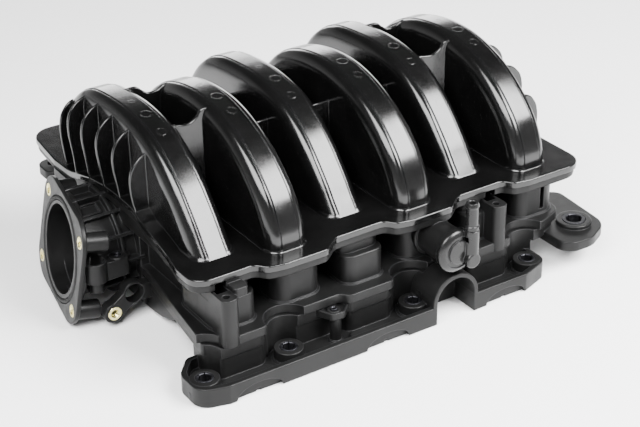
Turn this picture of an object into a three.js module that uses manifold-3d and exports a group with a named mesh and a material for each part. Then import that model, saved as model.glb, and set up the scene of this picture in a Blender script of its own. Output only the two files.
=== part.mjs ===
// Moulded intake manifold for a 90-degree V6 engine: six arched runners over a shared plenum,
// a throttle duct on the left end and one head flange on each long side.
// Millimetres, +Z up, X along the crankshaft, -Y the side with the vacuum fitting.
// The origin is the centre of the footprint, on the plane of the two head flanges.
import * as THREE from "three";
import * as BufferGeometryUtils from "three/addons/utils/BufferGeometryUtils.js";
import Module from "manifold-3d";

const wasm = await Module();
wasm.setup();

// ---- driving dimensions ----
const CYLINDER_PITCH = 105;
const BANK_OFFSET = 46.5;
const NEAR_PORT_X = [-CYLINDER_PITCH, 0, CYLINDER_PITCH];
const FAR_PORT_X = NEAR_PORT_X.map((x) => BANK_OFFSET - x);
// the far side is the near side turned half a turn: x -> BANK_OFFSET - x, y -> MIRROR_Y - y
const MIRROR_Y = -5;
const MESH_TOLERANCE = 0.1;
const GAP = 0.3; // left between touching pieces
const FAR_OUT = 300; // past the part in every direction

const RUNNER_WIDTH = 31;
const LOW_COVER_SHIFT = 0.4; // the low covers stand this far beyond their ports
const RUNNER_STRIP_WIDTH = 13.5; // flat band along the crown
const RUNNER_STRIP_RISE = 0.5;
const RUNNER_SHOULDER_DROP = 12;
const RUNNER_WALL = 3;
const RUNNER_DUCT_HEIGHT = 24;
const SKIN_DEPTH = 15; // how far the swept section reaches below the crown
// crown of the low runners (they end over the near ports), as y, z from the near end to the far end
const LOW_CROWN = [
  [-101, 60], [-100.5, 76], [-99, 81], [-92.4, 89.5], [-85, 99.5], [-75.5, 110.5], [-66, 120.5],
  [-53, 131.5], [-38, 141], [-25, 146.5], [-9, 150], [8, 151.5], [24, 151.3], [46, 149.5],
  [60, 147], [74, 141.5], [87, 132.5],
  [98, 121], [106, 108], [110.5, 94], [112, 80], [112, 60],
];
// crown of the high runners (they end over the far ports)
const HIGH_CROWN = [
  [-118, 60], [-118, 80], [-117.2, 91], [-112.5, 104], [-105, 116.5], [-94, 128], [-81, 138.5], [-67, 147],
  [-54, 152.5], [-40, 156.5], [-25, 158.8], [-8, 159], [10, 157], [25, 153.5], [38, 148.5], [51, 140.5],
  [63, 129.5], [73, 117.5], [82, 104.5], [89, 93], [94, 82], [95.5, 72], [96, 60],
];

const WELD_TOP = 80; // top of the upper shell's weld flange
const WELD_SPLIT = 75;
const WELD_BOTTOM = 69.2;
const PLATE_TOP = 38;
const PLATE_SPLIT = 31;
const TRAY_FLOOR = 6;
const RIM_TOP = 14.3;
const RIM_Y = -150;
const RIM_THICKNESS = 4;

const BOLT_X = [-137.2, -71.2, 33.8, 138.8];
const BOLT_Y = -132;
const BOLT_BOSS_RADIUS = 10.5;
const SLEEVE_OUTER_RADIUS = 6.2;
const SLEEVE_BORE_RADIUS = 4.3;
const SLEEVE_LENGTH = 15;

const PORT_Y = -119;
const PORT_LENGTH = 40;
const PORT_WIDTH = 22;
const PORT_MOUTH_DEPTH = 4.6;
const SEAL_HEIGHT = 2.7;

const THROTTLE_CENTRE = new THREE.Vector3(-164.5, 27, 46.7);
const THROTTLE_YAW = THREE.MathUtils.degToRad(8);
const THROTTLE_PITCH = THREE.MathUtils.degToRad(9.2);
const THROTTLE_ROLL = THREE.MathUtils.degToRad(-5.5);
const THROTTLE_BORE_RADIUS = 32.5;
const THROTTLE_FLANGE_HALF = [47, 43];
const THROTTLE_FLANGE_THICKNESS = 3.2;
const THROTTLE_HUB_RADIUS = 41.5;
const THROTTLE_HUB_DEPTH = 8;
const THROTTLE_BOLTS = [[-37.4, 28.4], [37.4, 28.4], [-37.4, -28.4], [37.4, -28.4]];
const INSERT_OUTER_RADIUS = 4.7;
const INSERT_BORE_RADIUS = 2.6;
const INSERT_LENGTH = 12;
const DUCT_WALL = 3.5;
const DUCT_END_X = -118;

// stiffening fins outside the first and the last cover:
// y, height of the tip beside the first cover and beside the last one, reach
const FINS = [
  [-31, 135, 147, 0.92], [-7.5, 143.5, 152, 0.97], [16.5, 145.4, 152.8, 1],
  [40, 145, 150.4, 1], [63.5, 142, 141.8, 0.97], [87, 130, 126.4, 0.7],
];
// edge of a fin from its tip down, as distance out of the cover's side and depth below the tip
const FIN_EDGE = [
  [-1.5, 0], [4, 2.2], [8.5, 6], [12, 10.5], [14, 17.5], [14.2, 25], [13.3, 34], [12, 44],
];
const FIN_THICKNESS = 2.4;
const FIN_BASE_REACH = 10.8;

// top of the weld flange where it arches over the throttle duct, as y, z
const HUMP_TOP = [
  [-76, 80], [-67, 82.6], [-53, 86.3], [-43, 88.3], [-33.5, 92.8], [-25, 94.4], [-10, 94.6],
  [5, 94.2], [21, 92.6], [38, 89.8], [55, 85.6], [73, 80.8], [79, 80],
];
const HUMP_EDGE_X = -131;
const HUMP_WALL_X = -126.5;
const COVER_SIDE_X = NEAR_PORT_X[0] + LOW_COVER_SHIFT - RUNNER_WIDTH / 2;

// ribs across the valleys, as x, z of the top lip; each runs slightly askew
const RIB_SKEW = -0.27;
const RIB_THICKNESS = 2.8;
const FRONT_RIB = [
  [-97.9, 145.6], [-92.4, 145.8], [-86.4, 145.2], [-81.5, 146.3], [-77.2, 150.1], [-74.9, 154.3],
  [-70.7, 156.2], [-65.2, 157.2],
];
const BACK_RIB = [
  [-97.9, 151], [-90.1, 151.8], [-85.5, 148.3], [-81.4, 146.1], [-74.9, 147.4], [-70.5, 150.6],
  [-65.4, 151.6],
];
const FRONT_RIB_Y = -23;
const BACK_RIB_Y = 39;
// low ribs between the other covers: x from, x to, y, top
const LOW_RIBS = [
  [14, 33, -29, 134], [-46, -13, -19, 128], [59, 92, -19, 128],
  [14, 33, 39, 134], [-46, -13, 33, 128], [59, 92, 33, 128],
];

const MATERIALS = {
  gloss: { color: 0x0b0b0d, roughness: 0.22, metalness: 0 },
  satin: { color: 0x2b2b2e, roughness: 0.5, metalness: 0 },
  rubber: { color: 0x101010, roughness: 0.85, metalness: 0 },
  brass: { color: 0xd8c27a, roughness: 0.35, metalness: 1 },
  steel: { color: 0x8f9194, roughness: 0.4, metalness: 1 },
};

// ---- solids ----
function toSolid(geometry) {
  const bare = geometry.clone();
  bare.deleteAttribute("normal");
  bare.deleteAttribute("uv");
  const merged = BufferGeometryUtils.mergeVertices(bare, 1e-4);
  return new wasm.Manifold(
    new wasm.Mesh({
      numProp: 3,
      vertProperties: new Float32Array(merged.attributes.position.array),
      triVerts: new Uint32Array(merged.index.array),
    }),
  );
}

function toGeometry(solid) {
  const mesh = solid.simplify(MESH_TOLERANCE).getMesh();
  const geometry = new THREE.BufferGeometry();
  geometry.setAttribute("position", new THREE.BufferAttribute(new Float32Array(mesh.vertProperties), 3));
  geometry.setIndex(new THREE.BufferAttribute(new Uint32Array(mesh.triVerts), 1));
  geometry.computeVertexNormals();
  return geometry;
}

function union(solids) {
  return solids.reduce((sum, solid) => sum.add(solid));
}

function block(x0, x1, y0, y1, z0, z1) {
  const geometry = new THREE.BoxGeometry(x1 - x0, y1 - y0, z1 - z0);
  geometry.translate((x0 + x1) / 2, (y0 + y1) / 2, (z0 + z1) / 2);
  return toSolid(geometry);
}

function rod(from, to, radius, segments = 14) {
  const a = new THREE.Vector3(...from);
  const b = new THREE.Vector3(...to);
  const geometry = new THREE.CylinderGeometry(radius, radius, a.distanceTo(b), segments);
  const along = b.clone().sub(a).normalize();
  geometry.applyQuaternion(new THREE.Quaternion().setFromUnitVectors(new THREE.Vector3(0, 1, 0), along));
  const middle = a.add(b).multiplyScalar(0.5);
  geometry.translate(middle.x, middle.y, middle.z);
  return toSolid(geometry);
}

// everything between two levels
function band(z0, z1) {
  return block(-FAR_OUT, FAR_OUT, -FAR_OUT, FAR_OUT, z0, z1);
}

function post(x, y, radius, z0, z1, segments = 14) {
  return rod([x, y, z0], [x, y, z1], radius, segments);
}

// a closed outline whose corners [x, y, radius] are rounded
function roundedOutline(corners, steps = 2) {
  const points = [];
  corners.forEach(([x, y, radius], i) => {
    const corner = new THREE.Vector2(x, y);
    const before = new THREE.Vector2(...corners[(i + corners.length - 1) % corners.length].slice(0, 2));
    const after = new THREE.Vector2(...corners[(i + 1) % corners.length].slice(0, 2));
    const toBefore = before.sub(corner);
    const toAfter = after.sub(corner);
    const angle = Math.acos(toBefore.dot(toAfter) / toBefore.length() / toAfter.length());
    const room = Math.min(toBefore.length(), toAfter.length()) * 0.49;
    const reach = Math.min((radius || 0) / Math.tan(angle / 2), room);
    if (reach < 0.05) {
      points.push(corner);
      return;
    }
    const start = corner.clone().addScaledVector(toBefore.normalize(), reach);
    const end = corner.clone().addScaledVector(toAfter.normalize(), reach);
    const bend = new THREE.QuadraticBezierCurve(start, corner, end);
    points.push(...bend.getPoints(steps));
  });
  return points;
}

// moves every side of a counter-clockwise outline inwards by a distance
function insetOutline(corners, distance) {
  const count = corners.length;
  const normal = (a, b) => new THREE.Vector2(a[1] - b[1], b[0] - a[0]).normalize();
  return corners.map((corner, i) => {
    const n0 = normal(corners[(i + count - 1) % count], corner);
    const n1 = normal(corner, corners[(i + 1) % count]);
    const scale = distance / (1 + n0.dot(n1));
    return [corner[0] + (n0.x + n1.x) * scale, corner[1] + (n0.y + n1.y) * scale, corner[2]];
  });
}

function slab(corners, z0, z1, steps) {
  const shape = new THREE.Shape(roundedOutline(corners, steps));
  const geometry = new THREE.ExtrudeGeometry(shape, { depth: z1 - z0, bevelEnabled: false });
  geometry.translate(0, 0, z0);
  return toSolid(geometry);
}

function rectangle(x0, x1, y0, y1, radius) {
  return [[x0, y0, radius], [x1, y0, radius], [x1, y1, radius], [x0, y1, radius]];
}

function oval(x, y, length, width) {
  return rectangle(x - length / 2, x + length / 2, y - width / 2, y + width / 2, width / 2.05);
}

// the half turn that carries the near side onto the far side
function farSide(solid) {
  return solid.rotate([0, 0, 180]).translate([BANK_OFFSET, MIRROR_Y, 0]);
}

// ---- runner covers ----
function insetCrown(crown, distance) {
  const points = crown.map(([y, z]) => new THREE.Vector2(y, z));
  return points.map((point, i) => {
    const ahead = points[Math.min(i + 1, points.length - 1)];
    const behind = points[Math.max(i - 1, 0)];
    const along = ahead.clone().sub(behind).normalize();
    return new THREE.Vector2(point.x + along.y * distance, point.y - along.x * distance);
  });
}

function archSolid(points, x, width) {
  const geometry = new THREE.ExtrudeGeometry(new THREE.Shape(points), { depth: width, bevelEnabled: false });
  const toYZ = new THREE.Matrix4().makeBasis(
    new THREE.Vector3(0, 1, 0),
    new THREE.Vector3(0, 0, 1),
    new THREE.Vector3(1, 0, 0),
  );
  geometry.translate(0, 0, -width / 2);
  geometry.applyMatrix4(toYZ);
  geometry.translate(x, 0, 0);
  return toSolid(geometry);
}

function smoothCrown(crown, step) {
  const curve = new THREE.SplineCurve(crown.map(([y, z]) => new THREE.Vector2(y, z)));
  const count = Math.round(curve.getLength() / step);
  return curve.getSpacedPoints(count).map((p) => [p.x, p.y]);
}

// a section swept along a crown: x across the runner, y outwards from the crown line
function sweepAlongCrown(crown, x, section, steps) {
  const path = new THREE.CatmullRomCurve3(crown.map(([y, z]) => new THREE.Vector3(x, y, z)));
  const shape = new THREE.Shape(section.map(([across, out]) => new THREE.Vector2(across, out)));
  return toSolid(new THREE.ExtrudeGeometry(shape, { steps, extrudePath: path }));
}

// half-rounded section: flat strip, elliptical shoulders, straight sides
function runnerSection(width, stripWidth, rise, drop, steps) {
  const half = width / 2;
  const shoulder = half - stripWidth / 2;
  const side = [[half, -SKIN_DEPTH]];
  for (let i = 0; i <= steps; i += 1) {
    const angle = (Math.PI / 2) * (i / steps);
    side.push([half - shoulder + shoulder * Math.cos(angle), -drop + drop * Math.sin(angle)]);
  }
  if (rise > 0) {
    side.push([stripWidth / 2, rise]);
  }
  return [...side, ...side.map(([across, out]) => [-across, out]).reverse()];
}

function runnerCover(crown, x) {
  const section = runnerSection(RUNNER_WIDTH, RUNNER_STRIP_WIDTH, RUNNER_STRIP_RISE, RUNNER_SHOULDER_DROP, 3);
  const skin = sweepAlongCrown(crown, x, section, 20);
  const fill = archSolid(insetCrown(smoothCrown(crown, 20), SKIN_DEPTH - 1.5), x, RUNNER_WIDTH);
  return skin.add(fill).intersect(band(WELD_SPLIT + 2, FAR_OUT));
}

function runnerCavity(crown, x) {
  const width = RUNNER_WIDTH - 2 * RUNNER_WALL;
  const drop = RUNNER_SHOULDER_DROP - RUNNER_WALL;
  const section = runnerSection(width, RUNNER_STRIP_WIDTH - 2, 0, drop, 1);
  const inner = insetCrown(crown, RUNNER_WALL).map((p) => [p.x, p.y]);
  const skin = sweepAlongCrown(inner, x, section, 11);
  return skin.add(archSolid(insetCrown(smoothCrown(crown, 20), SKIN_DEPTH - 2), x, width));
}

// an upright plate across a valley, whose top follows a lip; skew turns it off the X axis
function valleyRib(lip, y, skew) {
  const outline = [...lip, [lip[lip.length - 1][0], WELD_TOP - 2], [lip[0][0], WELD_TOP - 2]];
  const shape = new THREE.Shape(outline.map(([x, z]) => new THREE.Vector2(x - lip[0][0], z)));
  const geometry = new THREE.ExtrudeGeometry(shape, { depth: RIB_THICKNESS, bevelEnabled: false });
  geometry.translate(0, 0, -RIB_THICKNESS / 2);
  const upright = new THREE.Matrix4().makeBasis(
    new THREE.Vector3(1, skew, 0),
    new THREE.Vector3(0, 0, 1),
    new THREE.Vector3(0, -1, 0),
  );
  geometry.applyMatrix4(upright.setPosition(lip[0][0], y, 0));
  return toSolid(geometry);
}

function valleyRibs() {
  const pairPitch = 2 * CYLINDER_PITCH;
  const alongPair = (lip) => lip.map(([x, z]) => [x + pairPitch, z]);
  const high = [
    valleyRib(FRONT_RIB, FRONT_RIB_Y, RIB_SKEW),
    valleyRib(BACK_RIB, BACK_RIB_Y, RIB_SKEW),
    valleyRib(alongPair(FRONT_RIB), FRONT_RIB_Y, RIB_SKEW),
    valleyRib(alongPair(BACK_RIB), BACK_RIB_Y, RIB_SKEW),
  ];
  const low = LOW_RIBS.map(([x0, x1, y, top]) => valleyRib([[x0, top], [x1, top]], y, 0));
  return [...high, ...low];
}

// upright fin on the outer side of the first cover
function fin(y, tip, reach, floor) {
  const edge = FIN_EDGE.filter(([, down]) => tip - down > floor + 8)
    .map(([out, down]) => [COVER_SIDE_X - out * reach, tip - down]);
  const base = [
    [COVER_SIDE_X - FIN_BASE_REACH * reach, floor], [COVER_SIDE_X + 3, floor], [COVER_SIDE_X + 3, tip],
  ];
  const shape = new THREE.Shape([...edge, ...base].map(([x, z]) => new THREE.Vector2(x, z)));
  const geometry = new THREE.ExtrudeGeometry(shape, { depth: FIN_THICKNESS, bevelEnabled: false });
  geometry.rotateX(Math.PI / 2);
  geometry.translate(0, y + FIN_THICKNESS / 2, 0);
  return toSolid(geometry);
}

function humpHeight(y) {
  const i = HUMP_TOP.findIndex(([next]) => next >= y);
  if (i < 1) {
    return WELD_TOP;
  }
  const [y0, z0] = HUMP_TOP[i - 1];
  const [y1, z1] = HUMP_TOP[i];
  return z0 + ((z1 - z0) * (y - y0)) / (y1 - y0);
}

function fins() {
  const near = FINS.map(([y, tip, , reach]) => fin(y, tip, reach, humpHeight(y) - 2));
  const far = FINS.map(([y, , tip, reach]) => farSide(fin(y, tip, reach, WELD_TOP - 2)));
  return [...near, ...far];
}

// a slice along the arched edge of the weld flange: top and bottom are depths below its top
function humpSlice(top, bottom, lowest, x0, x1) {
  const upper = HUMP_TOP.map(([y, z]) => new THREE.Vector2(y, Math.max(z - top, lowest + 0.01)));
  const lower = HUMP_TOP.map(([y, z]) => new THREE.Vector2(y, Math.max(z - bottom, lowest))).reverse();
  return archSolid([...upper, ...lower], (x0 + x1) / 2, x1 - x0);
}

// ---- weld flange outline ----
const nearBulges = FAR_PORT_X.slice().reverse().flatMap((x) => [
  [x - 31, -121.2, 7], [x - 25, -129, 6], [x - 12, -131.9, 20], [x + 21, -132, 8],
  ...(x > 120 ? [] : [[x + 34, -121.6, 8]]),
]);
const farBulges = NEAR_PORT_X.slice().reverse().flatMap((x) => [
  ...(x > 90 ? [] : [[x + 31, 116.2, 7]]),
  [x + 25, 124, 6], [x + 12, 126.9, 20], [x - 21, 127, 8],
  ...(x < -90 ? [] : [[x - 34, 116.6, 8]]),
]);
const WELD_OUTLINE = [
  [-134.8, -121.4, 17],
  ...nearBulges.slice(0, -1), [191.6, -132, 16],
  [191.6, 118, 16], [140, 118, 8],
  ...farBulges.slice(0, -1),
  [-92, 154.5, 12], [-127, 154.5, 18], [-132, 100, 30],
  [HUMP_EDGE_X, 79, 10], [HUMP_EDGE_X, -76, 20], [-134.8, -95, 20],
];

function upperShell() {
  const thickness = WELD_TOP - WELD_SPLIT - GAP / 2;
  const underHump = humpSlice(thickness, FAR_OUT, 60, -140, COVER_SIDE_X);
  const flange = slab(WELD_OUTLINE, WELD_SPLIT + GAP / 2, WELD_TOP, 3).subtract(underHump);
  const low = NEAR_PORT_X.map((x) => runnerCover(LOW_CROWN, x + LOW_COVER_SHIFT));
  const high = FAR_PORT_X.map((x) => runnerCover(HIGH_CROWN, x));
  const hump = humpSlice(0, thickness, WELD_SPLIT + GAP / 2, HUMP_EDGE_X, -112);
  const outside = union([flange, hump, ...low, ...high, ...valleyRibs(), ...fins()]);
  const hollow = union([
    ...NEAR_PORT_X.map((x) => runnerCavity(LOW_CROWN, x + LOW_COVER_SHIFT)),
    ...FAR_PORT_X.map((x) => runnerCavity(HIGH_CROWN, x)),
  ]);
  return outside.subtract(hollow);
}

const FLOOR_END_LOW = 48;
const FLOOR_END_HIGH = -62;

// inner floor of one runner: an arched trough from the head side up and over into the plenum
function runnerFloor(crown, x, nearEnd) {
  const coarse = smoothCrown(crown, 16);
  const outer = insetCrown(coarse, RUNNER_WALL + RUNNER_DUCT_HEIGHT);
  const inner = insetCrown(coarse, RUNNER_WALL + RUNNER_DUCT_HEIGHT + 3);
  const trough = archSolid([...outer, ...inner.reverse()], x, RUNNER_WIDTH - 2 * RUNNER_WALL - 2 * GAP);
  const [y0, y1] = nearEnd ? [-FAR_OUT, FLOOR_END_LOW] : [FLOOR_END_HIGH, FAR_OUT];
  return trough.intersect(block(-FAR_OUT, FAR_OUT, y0, y1, WELD_SPLIT + GAP, FAR_OUT));
}

// ---- passages from the runners down to the head ports ----
function portPassage(x) {
  const path = new THREE.CatmullRomCurve3([
    new THREE.Vector3(x, -87, 84), new THREE.Vector3(x, -90, 66), new THREE.Vector3(x, -101, 44),
    new THREE.Vector3(x, -112, 20), new THREE.Vector3(x, PORT_Y, -4),
  ]);
  const shape = new THREE.Shape(roundedOutline(rectangle(-12.5, 12.5, -9.5, 9.5, 6), 2));
  const geometry = new THREE.ExtrudeGeometry(shape, { steps: 6, extrudePath: path });
  return toSolid(geometry);
}

function portMouth(x) {
  return slab(oval(x, PORT_Y, PORT_LENGTH, PORT_WIDTH), -1, PORT_MOUTH_DEPTH, 3);
}

const nearPassages = union([...NEAR_PORT_X.map(portPassage), ...NEAR_PORT_X.map(portMouth)]);
const passages = nearPassages.add(farSide(nearPassages));

const PLENUM = [-106, 152, -72, 67];

function plenum(z0, z1) {
  return slab(rectangle(PLENUM[0], PLENUM[1], PLENUM[2], PLENUM[3], 18), z0, z1);
}

// ---- plate that joins the middle shell and the lower shell ----
const plateNear = NEAR_PORT_X.flatMap((x) => [
  [x - 25, -127, 5], [x - 21, -133.2, 7], [x + 16, -133.2, 8], [x + 22, -127, 5],
]);
const PLATE_OUTLINE = [
  [-133.5, -118, 6], ...plateNear.slice(1), [158, -127, 10], [181, -118.5, 12],
  [181, 20, 20],
  ...plateNear.slice(1).map(([x, y, r]) => [BANK_OFFSET - x, MIRROR_Y - y, r]),
  [-111.5, 122, 10], [-124, 100, 16], [-120.5, -20, 60],
];

function boltReliefs(radius, z0, z1) {
  const near = union(BOLT_X.map((x) => post(x, BOLT_Y, radius, z0, z1, 14)));
  return near.add(farSide(near));
}

// ---- throttle duct ----
const throttleNormal = new THREE.Vector3(
  -Math.cos(THROTTLE_YAW) * Math.cos(THROTTLE_PITCH),
  Math.sin(THROTTLE_YAW) * Math.cos(THROTTLE_PITCH),
  Math.sin(THROTTLE_PITCH),
);

// frame of the throttle face: x to the near side, y up, z out of the bore
function throttleFrame() {
  const across = new THREE.Vector3(0, 0, 1).cross(throttleNormal).normalize();
  const up = throttleNormal.clone().cross(across);
  const matrix = new THREE.Matrix4().makeBasis(across, up, throttleNormal).setPosition(THROTTLE_CENTRE);
  return matrix.multiply(new THREE.Matrix4().makeRotationZ(THROTTLE_ROLL));
}

function atThrottle(geometry) {
  geometry.applyMatrix4(throttleFrame());
  return toSolid(geometry);
}

function throttleSlab(corners, z0, z1) {
  const shape = new THREE.Shape(roundedOutline(corners, 4));
  const geometry = new THREE.ExtrudeGeometry(shape, { depth: z1 - z0, bevelEnabled: false });
  geometry.translate(0, 0, z0);
  return atThrottle(geometry);
}

function throttleRod(x, y, radius, z0, z1, segments = 14) {
  const geometry = new THREE.CylinderGeometry(radius, radius, z1 - z0, segments);
  geometry.rotateX(Math.PI / 2);
  geometry.translate(x, y, (z0 + z1) / 2);
  return atThrottle(geometry);
}

function throttleRing(outer, inner, z0, z1, segments) {
  const disc = throttleRod(0, 0, outer, z0, z1, segments);
  return disc.subtract(throttleRod(0, 0, inner, z0 - 1, z1 + 1, segments));
}

function ductRod(radius, x1) {
  const start = [THROTTLE_CENTRE.x + 4, THROTTLE_CENTRE.y, THROTTLE_CENTRE.z];
  return rod(start, [x1, THROTTLE_CENTRE.y, THROTTLE_CENTRE.z - 1], radius, 28);
}

const DUCT_RIB_DEGREES = [-62, -38, -14, 12, 38, 64, 92, 118];
const DUCT_AXIS = [THROTTLE_CENTRE.y, THROTTLE_CENTRE.z - 0.7];

// short rod round the duct's axis, from one x to another
function alongDuct(x0, x1, extra) {
  return rod([x0, ...DUCT_AXIS], [x1, ...DUCT_AXIS], THROTTLE_BORE_RADIUS + DUCT_WALL + extra, 28);
}

function ductRibs() {
  const ribs = DUCT_RIB_DEGREES.map((degrees) => {
    const geometry = new THREE.BoxGeometry(46, 2.2, 14);
    geometry.translate(-140, 0, 36);
    geometry.rotateX(THREE.MathUtils.degToRad(degrees));
    geometry.translate(0, THROTTLE_CENTRE.y, THROTTLE_CENTRE.z);
    return toSolid(geometry);
  });
  return union(ribs);
}

// everything above the weld at the duct: the arch near the edge, the flat flange further in
function aboveWeld() {
  const inner = COVER_SIDE_X - GAP;
  const arch = humpSlice(-FAR_OUT, WELD_TOP - WELD_SPLIT + GAP / 2, 0, HUMP_EDGE_X - GAP, inner);
  return arch.add(block(inner, 0, -60, 120, WELD_SPLIT - GAP / 2, 130));
}

function throttleDuct() {
  const [halfWidth, halfHeight] = THROTTLE_FLANGE_HALF;
  const outline = rectangle(-halfWidth, halfWidth, -halfHeight, halfHeight, 20);
  const flange = throttleSlab(outline, -THROTTLE_FLANGE_THICKNESS, 0);
  const hub = throttleRod(0, 0, THROTTLE_HUB_RADIUS, -THROTTLE_HUB_DEPTH, -1, 28);
  const bosses = union(THROTTLE_BOLTS.map(([x, y]) => throttleRod(x, y, 7, -20, -1, 14)));
  const tube = ductRod(THROTTLE_BORE_RADIUS + DUCT_WALL, DUCT_END_X);
  const collar = alongDuct(-134, -131, 4.5);
  const ribs = ductRibs().intersect(alongDuct(-160, -112, 5.5));
  const beyondFace = throttleSlab(rectangle(-60, 60, -60, 60, 1), 0, 30);
  return union([flange, hub, bosses, tube, collar, ribs]).subtract(beyondFace).subtract(aboveWeld());
}

function throttleBore() {
  const bore = ductRod(THROTTLE_BORE_RADIUS, -100);
  const mouth = throttleRod(0, 0, THROTTLE_BORE_RADIUS, -12, 2, 28);
  const groove = throttleRing(39.6, 35.6, -3, 2, 28);
  const insertHoles = THROTTLE_BOLTS.map(
    ([x, y]) => throttleRod(x, y, INSERT_OUTER_RADIUS + GAP, -INSERT_LENGTH - 0.5, 2, 14),
  );
  return union([bore, mouth, groove, ...insertHoles]);
}

// ---- small brackets on the throttle end ----
const SENSOR_CUP = [-156, -13, 54];
const SENSOR_SCREW = [-138.5, -13];

function sensorBracket() {
  const cup = post(SENSOR_CUP[0], SENSOR_CUP[1], 9, 38, SENSOR_CUP[2], 14);
  const tube = post(SENSOR_CUP[0], SENSOR_CUP[1], 5.2, 29, 40, 14);
  const arm = block(-156, -131, -19, -7, 37.5, 52);
  const boss = post(SENSOR_SCREW[0], SENSOR_SCREW[1], 6, 37.5, 53, 14);
  const root = block(-150, -128, -12, 2, 38, 51);
  return union([cup, tube, arm, boss, root]);
}

function sensorHoles() {
  const socket = post(SENSOR_CUP[0], SENSOR_CUP[1], 7, 41, 60, 14);
  const drain = post(SENSOR_CUP[0], SENSOR_CUP[1], 3, 25, 45, 14);
  const screw = post(SENSOR_SCREW[0], SENSOR_SCREW[1], 3.3, 43, 60, 14);
  return union([socket, drain, screw]);
}

// lower link: x, z of its hole and of its insert, and the two faces between which it lies
const LINK_HOLE = [-131.5, 23];
const LINK_HOLE_RADIUS = 7.4;
const LINK_INSERT = [-148, 11.5];
const LINK_Y = [-22, -13];
const LINK_INSERT_RADIUS = 5.2;

// rod along Y through x, z
function pin([x, z], y0, y1, radius, segments) {
  return rod([x, y0, z], [x, y1, z], radius, segments);
}

function hookLink() {
  const [y0, y1] = LINK_Y;
  const [dx, dz] = [LINK_HOLE[0] - LINK_INSERT[0], LINK_HOLE[1] - LINK_INSERT[1]];
  const span = new THREE.BoxGeometry(Math.hypot(dx, dz), y1 - y0, 13);
  span.rotateY(-Math.atan2(dz, dx));
  span.translate(LINK_INSERT[0] + dx / 2, (y0 + y1) / 2, LINK_INSERT[1] + dz / 2);
  const root = block(-126, -112, y0, y1, 15, 28);
  const eye = pin(LINK_HOLE, y0, y1, LINK_HOLE_RADIUS + 1.5, 18);
  return union([eye, pin(LINK_INSERT, y0, y1, 7.8, 14), toSolid(span), root]);
}

function hookLinkHoles() {
  const [y0, y1] = [LINK_Y[0] - 1, LINK_Y[1] + 1];
  const socket = pin(LINK_INSERT, y0, y1, LINK_INSERT_RADIUS + GAP, 12);
  return pin(LINK_HOLE, y0, y1, LINK_HOLE_RADIUS, 18).add(socket);
}

function linkInsert() {
  const body = pin(LINK_INSERT, LINK_Y[0] - 0.4, LINK_Y[1] - 1, LINK_INSERT_RADIUS, 12);
  return body.subtract(pin(LINK_INSERT, LINK_Y[0] - 2, LINK_Y[1], 2.6, 12));
}

function sensorInsert() {
  const [x, y] = SENSOR_SCREW;
  return post(x, y, 3, 43.4, 53.4, 12).subtract(post(x, y, 1.8, 42, 55, 12));
}

// ---- middle shell ----
const POSTS_X = [-115, 111];
const POST_BACK_Y = -104;
const POST_HALF_WIDTH = 6.3;

function hollowPost(x) {
  const [x0, x1, front] = [x - POST_HALF_WIDTH, x + POST_HALF_WIDTH, BOLT_Y - 3];
  const outline = [[x0, front, 6], [x1, front, 6], [x1, POST_BACK_Y, 1], [x0, POST_BACK_Y, 1]];
  return slab(outline, PLATE_SPLIT + GAP / 2, 68);
}

function postHoles(x) {
  const pocket = block(x - 4.4, x + 4.4, -122.5, -107, 50, 80);
  return pocket.add(post(x - 1, -128.6, 2.6, 50, 80, 14));
}

function lowStub(x) {
  const foot = slab(rectangle(x - 17, x + 17, -122, -70, 9), 30, 60);
  const neck = slab(rectangle(x - 16.5, x + 16.5, -116, -70, 9), 50, 72);
  return foot.add(neck);
}

const HIGH_STUB_END = 27;
const STUB_SLOT = [162.5, 166, -125, -112, 42, 66];

function highStub(x) {
  const neck = slab(rectangle(x - 17, x + HIGH_STUB_END, -116.5, -70, 12), 60, 72);
  const foot = slab(rectangle(x - 11, x + HIGH_STUB_END, -116.5, -70, 12), 30, 62);
  return neck.add(foot);
}

const VACUUM_X = 57;
const VACUUM_Z = 57;

function vacuumStub() {
  const tube = rod([VACUUM_X, -72, VACUUM_Z], [VACUUM_X, -148, VACUUM_Z], 13.5, 28);
  const web = block(VACUUM_X - 2, VACUUM_X + 2, -140, -100, 37, 50);
  return tube.add(web);
}

const CORE = [-114, 160, -77, 72];

// the middle shell's half of the arched weld edge: a bead, and the wall under it
function middleHump() {
  const top = WELD_TOP - WELD_SPLIT + GAP / 2;
  const inner = COVER_SIDE_X - GAP;
  return union([
    humpSlice(top, WELD_TOP - WELD_BOTTOM, WELD_BOTTOM, HUMP_EDGE_X + 1.2, inner),
    humpSlice(top, FAR_OUT, WELD_BOTTOM, HUMP_WALL_X, inner),
    block(HUMP_WALL_X, -112, -74, 77, WELD_BOTTOM, WELD_SPLIT - GAP / 2),
  ]);
}

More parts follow.
